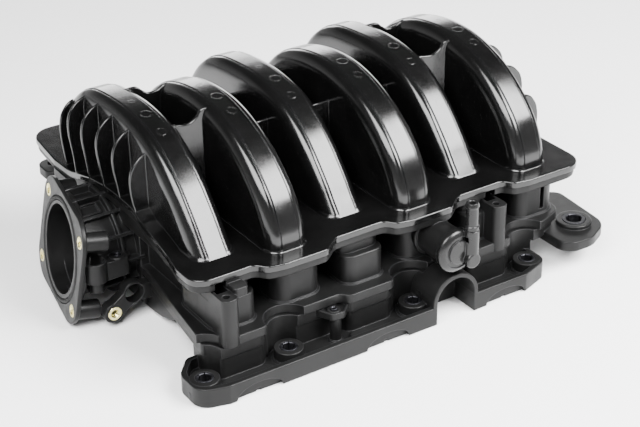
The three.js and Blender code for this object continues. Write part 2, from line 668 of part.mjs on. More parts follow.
function middleShell() {
  const underBead = humpSlice(WELD_TOP - WELD_BOTTOM, FAR_OUT, 60, -140, HUMP_WALL_X);
  const bead = slab(insetOutline(WELD_OUTLINE, 1.2), WELD_BOTTOM, WELD_SPLIT - GAP / 2);
  const flange = bead.subtract(underBead);
  const shelf = slab(rectangle(-110, -99, -130, -100, 3), 65, 72);
  const plate = slab(PLATE_OUTLINE, PLATE_SPLIT + GAP / 2, PLATE_TOP).subtract(boltReliefs(17, 20, 50));
  const core = slab(rectangle(CORE[0], CORE[1], CORE[2], CORE[3], 14), PLATE_SPLIT + GAP / 2, 72);
  const nearStubs = union([
    ...NEAR_PORT_X.map((x) => lowStub(x + LOW_COVER_SHIFT)),
    ...FAR_PORT_X.map(highStub),
  ]).intersect(band(PLATE_SPLIT + GAP / 2, 72));
  const posts = union(POSTS_X.map(hollowPost));
  const ductPad = block(-121, -108, -14, 68, 6, 72);
  const farLug = slab(rectangle(-132, -112, 112, 138, 9), 54, 62).add(block(-124, -104, 60, 122, 54, 62));
  const outside = union([
    flange, middleHump(), shelf, plate, core, nearStubs, farSide(nearStubs), posts, vacuumStub(), ductPad,
    throttleDuct(), sensorBracket(), hookLink(), farLug,
  ]);
  const cavity = union([
    plenum(0, 80), passages, block(...STUB_SLOT), ...POSTS_X.map(postHoles),
    throttleBore(), sensorHoles(), hookLinkHoles(),
    rod([VACUUM_X, -60, VACUUM_Z], [VACUUM_X, -160, VACUUM_Z], 6, 20),
    post(-122, 128, 4, 50, 70, 14),
  ]);
  return outside.subtract(cavity);
}

// ---- lower shell ----
const TRAY_OUTLINE = [
  [-149, -144, 12], [-128, RIM_Y, 3], [124, RIM_Y, 6], [150, -141, 10], [150, -116, 8], [140, -104, 6],
  [-136, -104, 6], [-149, -119, 12],
];
const ARCH_X = 59;
const ARCH_RADIUS = 20;
const ARCH_WALL = 3.2;
const BRACKET_HOLE = [-33, -130.5];
// bottom of the trough, as distance from its middle line and height
const BELLY_BOTTOM = [
  [0, 2], [20, 2.4], [34, 4.4], [46, 8.6], [57, 15], [67, 22.5], [76, 30.5], [77, 40],
];
const BELLY_Y = (PLENUM[2] + PLENUM[3]) / 2;
const BELLY_X = [-118, 166];
const PLENUM_X = [PLENUM[0] + 4, PLENUM[1] - 4];
const BELLY_WALL = 3.5;
const EAR_HOLE = [191, -124];
const EAR_SLEEVE_RADIUS = 8.9;

function headFlange() {
  const floor = slab(TRAY_OUTLINE, 0, TRAY_FLOOR);
  const inside = slab(insetOutline(TRAY_OUTLINE, RIM_THICKNESS), -1, RIM_TOP + 1);
  const rim = slab(TRAY_OUTLINE, 0, RIM_TOP).subtract(inside);
  const bosses = union(BOLT_X.map((x) => post(x, BOLT_Y, BOLT_BOSS_RADIUS, 0, SLEEVE_LENGTH - 0.4, 14)));
  const pads = union(NEAR_PORT_X.map((x) => slab(oval(x - 3, -139, 42, 13), 0, 8.4, 3)));
  return union([floor, rim, bosses, pads]);
}

function headFlangeCuts() {
  const sleeveHoles = BOLT_X.map((x) => post(x, BOLT_Y, SLEEVE_OUTER_RADIUS + GAP, -1, 20, 16));
  const recesses = NEAR_PORT_X.map((x) => {
    const scoop = new THREE.CylinderGeometry(18, 18, 2.6, 16);
    scoop.scale(1, 1, 0.5);
    scoop.translate(x, RIM_Y + 1.2, 0);
    return toSolid(scoop);
  });
  const notches = NEAR_PORT_X.map((x) => block(x - 1.6, x + 1.6, RIM_Y - 1, RIM_Y + 4, -1, 2));
  const seats = NEAR_PORT_X.map((x) => {
    const outer = slab(oval(x, PORT_Y, PORT_LENGTH + 9, PORT_WIDTH + 9), -1, SEAL_HEIGHT + GAP, 3);
    return outer.subtract(slab(oval(x, PORT_Y, PORT_LENGTH + 3, PORT_WIDTH + 3), -2, 5, 3));
  });
  return union([...sleeveHoles, ...recesses, ...notches, ...seats]);
}

function cableArch() {
  const outer = union([
    rod([ARCH_X, RIM_Y, 16], [ARCH_X, -122, 16], ARCH_RADIUS, 28),
    block(ARCH_X - ARCH_RADIUS, ARCH_X + ARCH_RADIUS, RIM_Y, -122, 0, 16),
  ]);
  const plateRoom = block(0, 100, -127.4, -100, PLATE_SPLIT - GAP / 2, 60);
  return outer.subtract(plateRoom).subtract(block(0, 100, -200, -100, -50, 0));
}

function cableArchOpening() {
  const radius = ARCH_RADIUS - ARCH_WALL;
  return union([
    rod([ARCH_X, RIM_Y - 5, 16], [ARCH_X, -126, 16], radius, 28),
    block(ARCH_X - radius, ARCH_X + radius, RIM_Y - 5, -126, -1, 14),
  ]);
}

function liftingEar() {
  const outline = [
    [163, -149, 15], [188, -150, 20], [210, -138, 18], [215.07, -78, 10], [168, -60, 6], [163, -104, 8],
  ];
  return slab(outline, 17, 25).add(post(EAR_HOLE[0], EAR_HOLE[1], 13.5, 10, 28, 14));
}

function pinBracket() {
  const outline = [[-46, -120, 1], [-38, -137, 4], [-29, -138, 4], [-20, -130, 2], [-19, -120, 1]];
  return slab(outline, 25, 30.5).add(post(BRACKET_HOLE[0], BRACKET_HOLE[1] - 2, 4, 3, 28, 14));
}

// round-bottomed trough under the plate; inset moves its bottom inwards
function belly(inset, [x0, x1]) {
  const half = BELLY_BOTTOM.map(([out, z]) => [out - inset * (out / BELLY_BOTTOM.at(-1)[0]), z + inset]);
  const near = half.map(([out, z]) => new THREE.Vector2(BELLY_Y - out, z)).reverse();
  const far = half.slice(1).map(([out, z]) => new THREE.Vector2(BELLY_Y + out, z));
  return archSolid([...near, ...far], (x0 + x1) / 2, x1 - x0).intersect(band(0, 30));
}

function lowerShell() {
  const skirt = slab(insetOutline(PLATE_OUTLINE, 2.4), 22, PLATE_SPLIT - GAP / 2);
  const wall = slab(insetOutline(PLATE_OUTLINE, 3.4), 2, 24);
  const nearWall = wall.intersect(block(-135, 150, -140, -100, 2, 24));
  const walls = skirt.add(nearWall).add(farSide(nearWall)).subtract(boltReliefs(14.5, TRAY_FLOOR, 60));
  const flange = headFlange();
  const outside = union([
    walls, belly(0, BELLY_X), flange, farSide(flange), cableArch(), liftingEar(), pinBracket(),
  ]);
  const cavity = union([
    belly(BELLY_WALL, PLENUM_X), plenum(PLATE_SPLIT - 3, 50), passages,
    headFlangeCuts(), farSide(headFlangeCuts()), cableArchOpening(),
    post(EAR_HOLE[0], EAR_HOLE[1], EAR_SLEEVE_RADIUS + GAP, 0, 40, 16),
    post(BRACKET_HOLE[0], BRACKET_HOLE[1], 2.9, 18, 40, 14),
    block(-140, -107.6, -14.4, 68.4, 5.6, 40),
    throttleDuct(), hookLink(),
  ]);
  return outside.subtract(cavity);
}

// ---- small parts ----
function sleeve(x, y, z0, outer, bore, length, grooves) {
  const body = post(x, y, outer, z0, z0 + length, 16).subtract(post(x, y, bore, z0 - 1, z0 + length + 1, 12));
  const slots = [];
  for (let i = 0; i < grooves; i += 1) {
    const slot = new THREE.BoxGeometry(bore * 2 + 1.6, 0.9, length + 2);
    slot.rotateZ((Math.PI * i) / grooves);
    slot.translate(x, y, z0 + length / 2);
    slots.push(toSolid(slot));
  }
  return body.subtract(union(slots));
}

function portSeal(x) {
  const outer = slab(oval(x, PORT_Y, PORT_LENGTH + 8.4, PORT_WIDTH + 8.4), 0, SEAL_HEIGHT, 3);
  return outer.subtract(slab(oval(x, PORT_Y, PORT_LENGTH + 3.6, PORT_WIDTH + 3.6), -1, 5, 3));
}

function insertSleeve(x, y) {
  const body = throttleRod(x, y, INSERT_OUTER_RADIUS, -INSERT_LENGTH, 0.1, 14);
  return body.subtract(throttleRod(x, y, INSERT_BORE_RADIUS, -INSERT_LENGTH - 1, 1, 14));
}

function lathe(profile, segments, place) {
  const geometry = new THREE.LatheGeometry(profile.map(([r, h]) => new THREE.Vector2(r, h)), segments);
  geometry.applyMatrix4(place);
  return toSolid(geometry);
}

const NIPPLE = [VACUUM_X + 9.5, -155.4];

function fittingCap() {
  const toNear = new THREE.Matrix4().makeTranslation(VACUUM_X, -148.3, VACUUM_Z)
    .multiply(new THREE.Matrix4().makeRotationX(Math.PI));
  const disc = lathe([[0, 0], [16.6, 0], [16.6, 3.5], [15, 5.8], [10, 7.4], [0, 8]], 28, toNear);
  const groove = lathe([[9, 6], [12, 6], [12, 10], [9, 10], [9, 6]], 28, toNear);
  const riser = post(NIPPLE[0], NIPPLE[1], 5.6, VACUUM_Z - 8, VACUUM_Z + 16, 16);
  const knob = rod([NIPPLE[0] - 1, -149, VACUUM_Z - 7], [NIPPLE[0] - 1, -161, VACUUM_Z - 7], 6, 16);
  const neck = block(NIPPLE[0] - 4, NIPPLE[0] + 4, -156, -149, VACUUM_Z - 8, VACUUM_Z + 12);
  const feed = rod([VACUUM_X, -140, VACUUM_Z], [VACUUM_X, -152, VACUUM_Z], 4, 16);
  const cross = rod([VACUUM_X, -152, VACUUM_Z], [NIPPLE[0], -152, VACUUM_Z], 3, 12);
  const socket = post(NIPPLE[0], NIPPLE[1], 3.4, VACUUM_Z - 2, VACUUM_Z + 20, 16);
  return union([disc.subtract(groove), riser, knob, neck]).subtract(union([feed, cross, socket]));
}

function hoseNipple() {
  const z = VACUUM_Z + 16 + GAP;
  const place = new THREE.Matrix4().makeTranslation(NIPPLE[0], NIPPLE[1], z).multiply(
    new THREE.Matrix4().makeRotationX(Math.PI / 2),
  );
  const profile = [
    [2.4, 0], [5.3, 0], [5.3, 3], [4.6, 3.6], [4.6, 17], [5.1, 18], [4.6, 21], [2.4, 21], [2.4, 0],
  ];
  return lathe(profile, 16, place);
}

// ---- assembly ----
const assembly = new THREE.Group();

function addPiece(name, solid, finish) {
  const mesh = new THREE.Mesh(toGeometry(solid), new THREE.MeshStandardMaterial(MATERIALS[finish]));
  mesh.name = name;
  assembly.add(mesh);
}

addPiece("upper_shell", upperShell(), "gloss");
addPiece("middle_shell", middleShell(), "satin");
addPiece("lower_shell", lowerShell(), "satin");
NEAR_PORT_X.forEach((x, i) => {
  addPiece(`runner_floor_low_${i + 1}`, runnerFloor(LOW_CROWN, x + LOW_COVER_SHIFT, true), "satin");
});
FAR_PORT_X.forEach((x, i) => {
  addPiece(`runner_floor_high_${i + 1}`, runnerFloor(HIGH_CROWN, x, false), "satin");
});
addPiece("throttle_seal", throttleRing(39.2, 36, -2.7, 0.8, 32), "rubber");
THROTTLE_BOLTS.forEach(([x, y], i) => addPiece(`throttle_insert_${i + 1}`, insertSleeve(x, y), "brass"));
BOLT_X.forEach((x, i) => {
  const boltSleeve = sleeve(x, BOLT_Y, 0, SLEEVE_OUTER_RADIUS, SLEEVE_BORE_RADIUS, SLEEVE_LENGTH, 2);
  addPiece(`bolt_sleeve_near_${i + 1}`, boltSleeve, "steel");
  addPiece(`bolt_sleeve_far_${i + 1}`, farSide(boltSleeve), "steel");
});
NEAR_PORT_X.forEach((x, i) => {
  addPiece(`port_seal_near_${i + 1}`, portSeal(x), "rubber");
  addPiece(`port_seal_far_${i + 1}`, farSide(portSeal(x)), "rubber");
});
addPiece("ear_sleeve", sleeve(EAR_HOLE[0], EAR_HOLE[1], 10, EAR_SLEEVE_RADIUS, 6, 18.4, 2), "steel");
addPiece("bracket_pin", sleeve(BRACKET_HOLE[0], BRACKET_HOLE[1], 20, 2.6, 1.3, 11.2, 1), "steel");
addPiece("link_insert", linkInsert(), "brass");
addPiece("sensor_insert", sensorInsert(), "steel");
addPiece("fitting_cap", fittingCap(), "gloss");
addPiece("hose_nipple", hoseNipple(), "gloss");

const footprint = new THREE.Box3().setFromObject(assembly);
const middle = footprint.getCenter(new THREE.Vector3());
assembly.children.forEach((mesh) => mesh.geometry.translate(-middle.x, -middle.y, -footprint.min.z));

export default assembly;
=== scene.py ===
"""Looks for a moulded V6 intake manifold: three welded shells, inserts, sleeves, seals and a hose fitting."""
import math

import bmesh
import bpy
from mathutils import Matrix, Vector


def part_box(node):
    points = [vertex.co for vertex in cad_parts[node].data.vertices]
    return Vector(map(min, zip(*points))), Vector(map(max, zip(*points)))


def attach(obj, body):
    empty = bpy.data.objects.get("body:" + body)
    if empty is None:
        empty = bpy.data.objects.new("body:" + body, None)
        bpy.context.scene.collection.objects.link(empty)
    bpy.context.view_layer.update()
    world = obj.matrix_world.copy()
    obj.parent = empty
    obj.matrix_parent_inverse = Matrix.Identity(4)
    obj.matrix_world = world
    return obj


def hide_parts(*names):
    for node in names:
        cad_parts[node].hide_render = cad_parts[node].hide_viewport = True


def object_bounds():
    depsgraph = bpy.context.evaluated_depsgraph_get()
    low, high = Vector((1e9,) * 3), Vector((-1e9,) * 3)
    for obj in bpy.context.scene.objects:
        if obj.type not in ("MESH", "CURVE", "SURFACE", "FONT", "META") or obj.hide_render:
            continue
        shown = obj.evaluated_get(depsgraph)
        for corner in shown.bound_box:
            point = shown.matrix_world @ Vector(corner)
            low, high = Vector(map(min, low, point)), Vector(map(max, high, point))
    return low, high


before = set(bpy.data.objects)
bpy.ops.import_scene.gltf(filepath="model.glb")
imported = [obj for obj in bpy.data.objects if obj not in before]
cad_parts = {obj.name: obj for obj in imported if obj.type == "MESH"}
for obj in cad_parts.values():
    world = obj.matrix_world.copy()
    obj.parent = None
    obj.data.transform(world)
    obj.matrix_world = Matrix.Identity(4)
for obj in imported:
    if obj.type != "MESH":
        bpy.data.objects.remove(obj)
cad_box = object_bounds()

# ---- sizes, in millimetres, in the engine's frame: bore 2 of the near head at x 0, flange plane at z 0 ----
MM = 0.001
PITCH = 105.0
BANK_OFFSET = 46.5
MIRROR_Y = -5.0
NEAR_X = [-PITCH, 0.0, PITCH]
FAR_X = [BANK_OFFSET - x for x in NEAR_X]
GAP = 0.3

RUNNER_WIDTH = 31.0
LOW_COVER_SHIFT = 0.4
STRIP_WIDTH = 13.5
STRIP_RISE = 0.5
SHOULDER_DROP = 12.0
RUNNER_WALL = 3.0
# crown lines of the covers, as y, z from the near end to the far end
LOW_CROWN = [
    (-101, 60), (-100.5, 76), (-99, 81), (-92.4, 89.5), (-85, 99.5), (-75.5, 110.5), (-66, 120.5),
    (-53, 131.5), (-38, 141), (-25, 146.5), (-9, 150), (8, 151.5), (24, 151.3), (46, 149.5),
    (60, 147), (74, 141.5), (87, 132.5), (98, 121), (106, 108), (110.5, 94), (112, 80), (112, 60),
]
HIGH_CROWN = [
    (-118, 60), (-118, 80), (-117.2, 91), (-112.5, 104), (-105, 116.5), (-94, 128), (-81, 138.5), (-67, 147),
    (-54, 152.5), (-40, 156.5), (-25, 158.8), (-8, 159), (10, 157), (25, 153.5), (38, 148.5), (51, 140.5),
    (63, 129.5), (73, 117.5), (82, 104.5), (89, 93), (94, 82), (95.5, 72), (96, 60),
]
WELD_TOP = 80.0
WELD_SPLIT = 75.0
WELD_BOTTOM = 69.2
PLATE_TOP = 38.0
PLATE_SPLIT = 31.0
TRAY_FLOOR = 6.0
RIM_TOP = 14.3
RIM_Y = -150.0
RIM_THICKNESS = 4.0
BOLT_X = [-137.2, -71.2, 33.8, 138.8]
BOLT_Y = -132.0
BOSS_RADIUS = 10.5
SLEEVE_RADIUS = 6.2
SLEEVE_BORE = 4.3
SLEEVE_LENGTH = 15.0
SLEEVE_GROOVES = 3
PORT_Y = -119.0
PORT_SIZE = (40.0, 22.0)
PORT_MOUTH_DEPTH = 4.6
PORT_SEAL_WIDTH = 2.4
PORT_SEAL_HEIGHT = 2.7
THROTTLE_CENTRE = Vector((-164.5, 27.0, 46.7))
THROTTLE_YAW = math.radians(8)
THROTTLE_PITCH = math.radians(9.2)
THROTTLE_ROLL = math.radians(-5.5)
BORE_RADIUS = 32.5
FLANGE_HALF = (47.0, 43.0)
FLANGE_THICKNESS = 3.2
HUB_RADIUS = 41.5
HUB_DEPTH = 8.0
THROTTLE_BOLTS = [(-37.4, 28.4), (37.4, 28.4), (-37.4, -28.4), (37.4, -28.4)]
INSERT_RADIUS = 4.7
INSERT_LENGTH = 12.0
INSERT_BORE = 2.6
THROTTLE_GROOVE = (35.6, 39.6)  # inner and outer radius
THROTTLE_SEAL_RADIUS = 37.6
DUCT_WALL = 3.5
DUCT_END_X = -118.0
COVER_SIDE_X = NEAR_X[0] + LOW_COVER_SHIFT - RUNNER_WIDTH / 2
# fins outside the first and the last cover: y, tip height beside the first and the last, reach
FINS = [
    (-31, 135, 147, 0.92), (-7.5, 143.5, 152, 0.97), (16.5, 145.4, 152.8, 1),
    (40, 145, 150.4, 1), (63.5, 142, 141.8, 0.97), (87, 130, 126.4, 0.7),
]
# edge of a fin from its tip down: distance out of the cover's side, depth below the tip
FIN_EDGE = [(-1.5, 0), (4, 2.2), (8.5, 6), (12, 10.5), (14, 17.5), (14.2, 25), (13.3, 34), (12, 44)]
FIN_THICKNESS = 2.4
FIN_BASE_REACH = 10.8
# top of the weld flange where it arches over the duct, as y, z
HUMP_TOP = [
    (-76, 80), (-67, 82.6), (-53, 86.3), (-43, 88.3), (-33.5, 92.8), (-25, 94.4), (-10, 94.6),
    (5, 94.2), (21, 92.6), (38, 89.8), (55, 85.6), (73, 80.8), (79, 80),
]
HUMP_EDGE_X = -131.0
HUMP_WALL_X = -126.5
HUMP_LOWEST = 60.0
HUMP_OUTSIDE_X = -140.0
# ribs across the valleys, as x, z of the top lip
RIB_SKEW = -0.27
RIB_THICKNESS = 2.8
FRONT_RIB = [
    (-97.9, 145.6), (-92.4, 145.8), (-86.4, 145.2), (-81.5, 146.3), (-77.2, 150.1), (-74.9, 154.3),
    (-70.7, 156.2), (-65.2, 157.2),
]
BACK_RIB = [
    (-97.9, 151), (-90.1, 151.8), (-85.5, 148.3), (-81.4, 146.1), (-74.9, 147.4), (-70.5, 150.6),
    (-65.4, 151.6),
]
FRONT_RIB_Y = -23.0
BACK_RIB_Y = 39.0
# low ribs between the other covers: x from, x to, y, top
LOW_RIBS = [
    (14, 33, -29, 134), (-46, -13, -19, 128), (59, 92, -19, 128),
    (14, 33, 39, 134), (-46, -13, 33, 128), (59, 92, 33, 128),
]
VACUUM_X = 57.0
VACUUM_Z = 57.0
VACUUM_RADIUS = 13.5
VACUUM_BORE = 6.0
VACUUM_CAP_Y = -148.3
KNOB_RADIUS = 6.0
NIPPLE = (66.5, -155.4)
BRACKET_HOLE = (-33.0, -130.5)
EAR_HOLE = (191.0, -124.0)
EAR_SLEEVE_RADIUS = 8.9
EAR_SLEEVE_BORE = 6.0
EAR_SLEEVE_Z = (10.0, 28.4)
PIN_RADIUS = 2.6
PIN_BORE = 1.3
PIN_Z = (20.0, 31.2)
SENSOR_CUP = (-156.0, -13.0, 54.0)
SENSOR_SCREW = (-138.5, -13.0)
SENSOR_INSERT_RADIUS = 3.0
SENSOR_INSERT_BORE = 1.8
LINK_HOLE = (-131.5, 23.0)
LINK_HOLE_RADIUS = 7.4
LINK_INSERT = (-148.0, 11.5)
LINK_INSERT_RADIUS = 5.2
LINK_Y = (-22.0, -13.0)
ARCH_X = 59.0
ARCH_Z = 16.0
ARCH_RADIUS = 20.0
ARCH_WALL = 3.2
CROWN_MARKS = [(0, 3.6), (21, 4.4), (44, 2.6)]  # along the crown from the first mark, and radius
LOW_MARK_Y = -28
HIGH_MARK_Y = -46
FAR_OUT = 300.0  # past every side of the part
WIDE = 400.0  # half the width of a block that spans the part

# the engine frame's origin in the CAD frame, from where the CAD has one bolt sleeve
sleeve_low, sleeve_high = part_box("bolt_sleeve_near_1")
DATUM = Vector((
    (sleeve_low[0] + sleeve_high[0]) / 2 - BOLT_X[0] * MM,
    (sleeve_low[1] + sleeve_high[1]) / 2 - BOLT_Y * MM,
    0.0,
))


# ---- closed solids, in millimetres ----
def solid(points, faces):
    mesh = bpy.data.meshes.new("solid")
    mesh.from_pydata([tuple(p) for p in points], [], faces)
    bm = bmesh.new()
    bm.from_mesh(mesh)
    bmesh.ops.recalc_face_normals(bm, faces=bm.faces)
    bm.to_mesh(mesh)
    bm.free()
    piece = bpy.data.objects.new("solid", mesh)
    bpy.context.collection.objects.link(piece)
    return piece


def loft(rings, closed=False):
    """Skins a row of rings with equal counts; closed joins the last ring to the first."""
    count = len(rings[0])
    points = [p for ring in rings for p in ring]
    faces = []
    spans = len(rings) if closed else len(rings) - 1
    for i in range(spans):
        a = i * count
        b = ((i + 1) % len(rings)) * count
        for k in range(count):
            n = (k + 1) % count
            faces.append((a + k, a + n, b + n, b + k))
    if not closed:
        faces.append(tuple(range(count)))
        faces.append(tuple(reversed(range(a + count, a + 2 * count))))
    return solid(points, faces)


def combine(parts, cuts=()):
    """Joins the parts, then takes the cuts away, and leaves one object."""
    base = parts[0]
    for operation, others in (("UNION", parts[1:]), ("DIFFERENCE", cuts)):
        for other in others:
            step = base.modifiers.new("step", "BOOLEAN")
            step.solver = "MANIFOLD"
            step.operation = operation
            step.object = other
    mesh = bpy.data.meshes.new_from_object(base.evaluated_get(bpy.context.evaluated_depsgraph_get()))
    base.modifiers.clear()
    old = base.data
    base.data = mesh
    bpy.data.meshes.remove(old)
    for other in [*parts[1:], *cuts]:
        spare = other.data
        bpy.data.objects.remove(other)
        bpy.data.meshes.remove(spare)
    return base


def moved(piece, matrix):
    """The same piece after a transform of its mesh, or as it was where matrix is None."""
    if matrix is not None:
        piece.data.transform(matrix)
    return piece


def copy_of(piece, matrix=None):
    twin = bpy.data.objects.new("solid", piece.data.copy())
    bpy.context.collection.objects.link(twin)
    return moved(twin, matrix)


TO_NEAR_SIDE = Matrix.Rotation(math.pi / 2, 4, "X")  # turns +Z to -Y
HALF_TURN = Matrix.Translation((BANK_OFFSET, MIRROR_Y, 0)) @ Matrix.Rotation(math.pi, 4, "Z")


def both_sides(piece):
    """The near side's solid and its copy turned half a turn onto the far side."""
    return [piece, copy_of(piece, HALF_TURN)]


# ---- outlines ----
def rounded(corners, steps=6):
    """A closed outline from corners (x, y, radius)."""
    points = []
    for i, (x, y, radius) in enumerate(corners):
        corner = Vector((x, y))
        back = Vector(corners[i - 1][:2]) - corner
        ahead = Vector(corners[(i + 1) % len(corners)][:2]) - corner
        half = back.angle(ahead) / 2
        reach = min(radius / math.tan(half), min(back.length, ahead.length) * 0.49)
        if reach < 0.05:
            points.append(corner)
            continue
        centre = corner + (back.normalized() + ahead.normalized()).normalized() * reach / math.cos(half)
        start = corner + back.normalized() * reach - centre
        sweep = math.pi - 2 * half
        if back.x * ahead.y - back.y * ahead.x > 0:
            sweep = -sweep
        for k in range(steps + 1):
            points.append(centre + Matrix.Rotation(sweep * k / steps, 2) @ start)
    return points


def inset(points, distance):
    """Moves an anticlockwise outline inwards."""
    moved = []
    for i, point in enumerate(points):
        before = (point - points[i - 1]).normalized()
        after = (points[(i + 1) % len(points)] - point).normalized()
        n0 = Vector((-before.y, before.x))
        n1 = Vector((-after.y, after.x))
        moved.append(point + (n0 + n1) * distance / max(1 + n0.dot(n1), 0.4))
    return moved


def rectangle(x0, x1, y0, y1, radius):
    return [(x0, y0, radius), (x1, y0, radius), (x1, y1, radius), (x0, y1, radius)]


def oval(x, y, length, width):
    return rectangle(x - length / 2, x + length / 2, y - width / 2, y + width / 2, width / 2.02)


def edge_levels(z0, z1, bottom, top, steps=3):
    """Pairs (inset, height) of a wall whose bottom and top edges are rounded."""
    levels = []
    for k in range(steps + 1 if bottom else 1):
        angle = math.pi / 2 * k / steps
        levels.append((bottom * (1 - math.sin(angle)), z0 + bottom * (1 - math.cos(angle))))
    for k in range(steps + 1 if top else 1):
        angle = math.pi / 2 * (1 - k / steps)
        levels.append((top * (1 - math.sin(angle)), z1 - top * (1 - math.cos(angle))))
    return levels


def slab(corners, z0, z1, bottom=0.0, top=0.0, steps=6):
    outline = rounded(corners, steps)
    rings = []
    for shrink, z in edge_levels(z0, z1, bottom, top):
        rings.append([Vector((p.x, p.y, z)) for p in inset(outline, shrink)])
    return loft(rings)


def unit_circle(count):
    angles = [2 * math.pi * k / count for k in range(count)]
    return [Vector((math.cos(a), math.sin(a))) for a in angles]


def turned(profile, segments=48, matrix=None):
    """A solid of revolution round Z from rings (radius, height), with flat ends."""
    circle = unit_circle(segments)
    rings = [[Vector((p.x * radius, p.y * radius, z)) for p in circle] for radius, z in profile]
    return moved(loft(rings), matrix)


def rod(start, end, radius, edge=0.0, segments=40):
    """A round bar between two points with rounded rims."""
    start = Vector(start)
    axis = Vector(end) - start
    turn = Vector((0, 0, 1)).rotation_difference(axis).to_matrix().to_4x4()
    profile = [(radius - shrink, z) for shrink, z in edge_levels(0, axis.length, edge, edge)]
    return turned(profile, segments, Matrix.Translation(start) @ turn)


def post(x, y, radius, z0, z1, edge=0.0, segments=40):
    return rod((x, y, z0), (x, y, z1), radius, edge, segments)


def block(x0, x1, y0, y1, z0, z1, edge=0.4):
    return slab(rectangle(x0, x1, y0, y1, edge), z0, z1, edge, edge, 2)


def band(z0, z1):
    """A block as wide as the whole part, between two heights."""
    return block(-WIDE, WIDE, -WIDE, WIDE, z0, z1, 0.1)


# ---- runner covers ----
def crown_stations(crown, spacing, rise=0.0):
    """Evenly spaced points of the smooth crown line, each with its outward direction, in the y-z plane."""
    fine = []
    knots = [Vector(p) for p in crown]
    for i in range(len(knots) - 1):
        p0 = knots[max(i - 1, 0)]
        p1 = knots[i]
        p2 = knots[i + 1]
        p3 = knots[min(i + 2, len(knots) - 1)]
        for k in range(12):
            t = k / 12
            straight = 2 * p1 + (p2 - p0) * t
            fine.append(0.5 * (
                straight + (2 * p0 - 5 * p1 + 4 * p2 - p3) * t ** 2 + (3 * p1 - p0 - 3 * p2 + p3) * t ** 3
            ))
    fine.append(knots[-1])
    lengths = [0.0]
    for a, b in zip(fine, fine[1:]):
        lengths.append(lengths[-1] + (b - a).length)
    count = round(lengths[-1] / spacing)
    evenly = []
    i = 0
    for k in range(count + 1):
        want = lengths[-1] * k / count
        while i < len(fine) - 2 and lengths[i + 1] < want:
            i += 1
        share = (want - lengths[i]) / (lengths[i + 1] - lengths[i])
        evenly.append(fine[i].lerp(fine[i + 1], share))
    stations = []
    for k, point in enumerate(evenly):
        along = (evenly[min(k + 2, count)] - evenly[max(k - 2, 0)]).normalized()
        outward = Vector((-along.y, along.x))
        stations.append((point + outward * rise, outward))
    return stations


def sweep(stations, x, section):
    rings = []
    for point, outward in stations:
        rings.append([Vector((x + a, point.x + outward.x * o, point.y + outward.y * o)) for a, o in section])
    return loft(rings)


def arch(points, x0, x1):
    """A flat outline (y, z) given thickness along x."""
    return loft([[Vector((x, p[0], p[1])) for p in points] for x in (x0, x1)])


def shoulder(half, strip_half, drop, steps):
    """Right half of a cover's section, from the side up to the strip, as (across, out)."""
    reach = half - strip_half
    points = []
    for k in range(steps + 1):
        angle = math.pi / 2 * k / steps
        points.append((strip_half + reach * math.cos(angle), -drop + drop * math.sin(angle)))
    return points


def mirrored(right):
    return [*right, *[(-across, out) for across, out in reversed(right)]]


GROOVE = 0.8  # width of the fine groove on each side of the strip


def runner_cover(crown, x):
    half = RUNNER_WIDTH / 2
    strip = STRIP_WIDTH / 2
    right = [(half, -15.0), *shoulder(half, strip + GROOVE, SHOULDER_DROP, 12)]
    right += [(strip + GROOVE * 0.7, -0.55), (strip + GROOVE * 0.2, -0.55), (strip, STRIP_RISE * 0.8)]
    right += [(strip - 0.3, STRIP_RISE), (strip / 2, STRIP_RISE)]
    skin = sweep(crown_stations(crown, 4), x, mirrored(right))
    core_line = [p for p, _ in crown_stations(crown, 6, -13.0)]
    core = arch(core_line, x - half, x + half)
    return combine([skin, core, cover_skirt(crown, x)], [band(-50, WELD_SPLIT + 2)])


def crown_y(crown, z, near):
    """Where the crown line crosses a height on its near or far side."""
    points = [p for p, _ in crown_stations(crown, 2)]
    pairs = list(zip(points, points[1:]))
    if not near:
        pairs = [(b, a) for a, b in reversed(pairs)]
    for low, high in pairs:
        if low.y <= z <= high.y:
            return low.x + (high.x - low.x) * (z - low.y) / (high.y - low.y)
    return points[0].x


def cover_skirt(crown, x, radius=1.8, steps=5):
    """The concave fillet where a cover runs out into the weld flange."""
    half = RUNNER_WIDTH / 2
    rings = []
    for k in range(steps + 1):
        angle = math.pi / 2 * k / steps
        z = WELD_TOP - 1 + (radius + 1) * k / steps
        flare = radius * (1 - math.sin(angle))
        near = crown_y(crown, z, True) - flare
        far = crown_y(crown, z, False) + flare
        outline = []
        curve = shoulder(half + flare, STRIP_WIDTH / 2 + GROOVE, SHOULDER_DROP, 10)
        outline += [Vector((x + a, far + o, z)) for a, o in curve]
        outline += [Vector((x - a, far + o, z)) for a, o in reversed(curve)]
        outline += [Vector((x - a, near - o, z)) for a, o in curve]
        outline += [Vector((x + a, near - o, z)) for a, o in reversed(curve)]
        rings.append(outline)
    return loft(rings)


def runner_hollow(crown, x):
    half = RUNNER_WIDTH / 2 - RUNNER_WALL
    right = [(half, -14.0), *shoulder(half, STRIP_WIDTH / 2 - 1, SHOULDER_DROP - 3, 6)]
    skin = sweep(crown_stations(crown, 8, -RUNNER_WALL), x, mirrored(right))
    core = arch([p for p, _ in crown_stations(crown, 10, -13.0)], x - half, x + half)
    return combine([skin, core])


def plate(outline, depth, rim):
    """An upright plate across Y from an anticlockwise outline (x, z), with rounded rims."""
    rings = []
    for shrink, y in edge_levels(-depth / 2, depth / 2, rim, rim):
        rings.append([Vector((p.x, y, p.y)) for p in inset(outline, shrink)])
    return loft(rings)


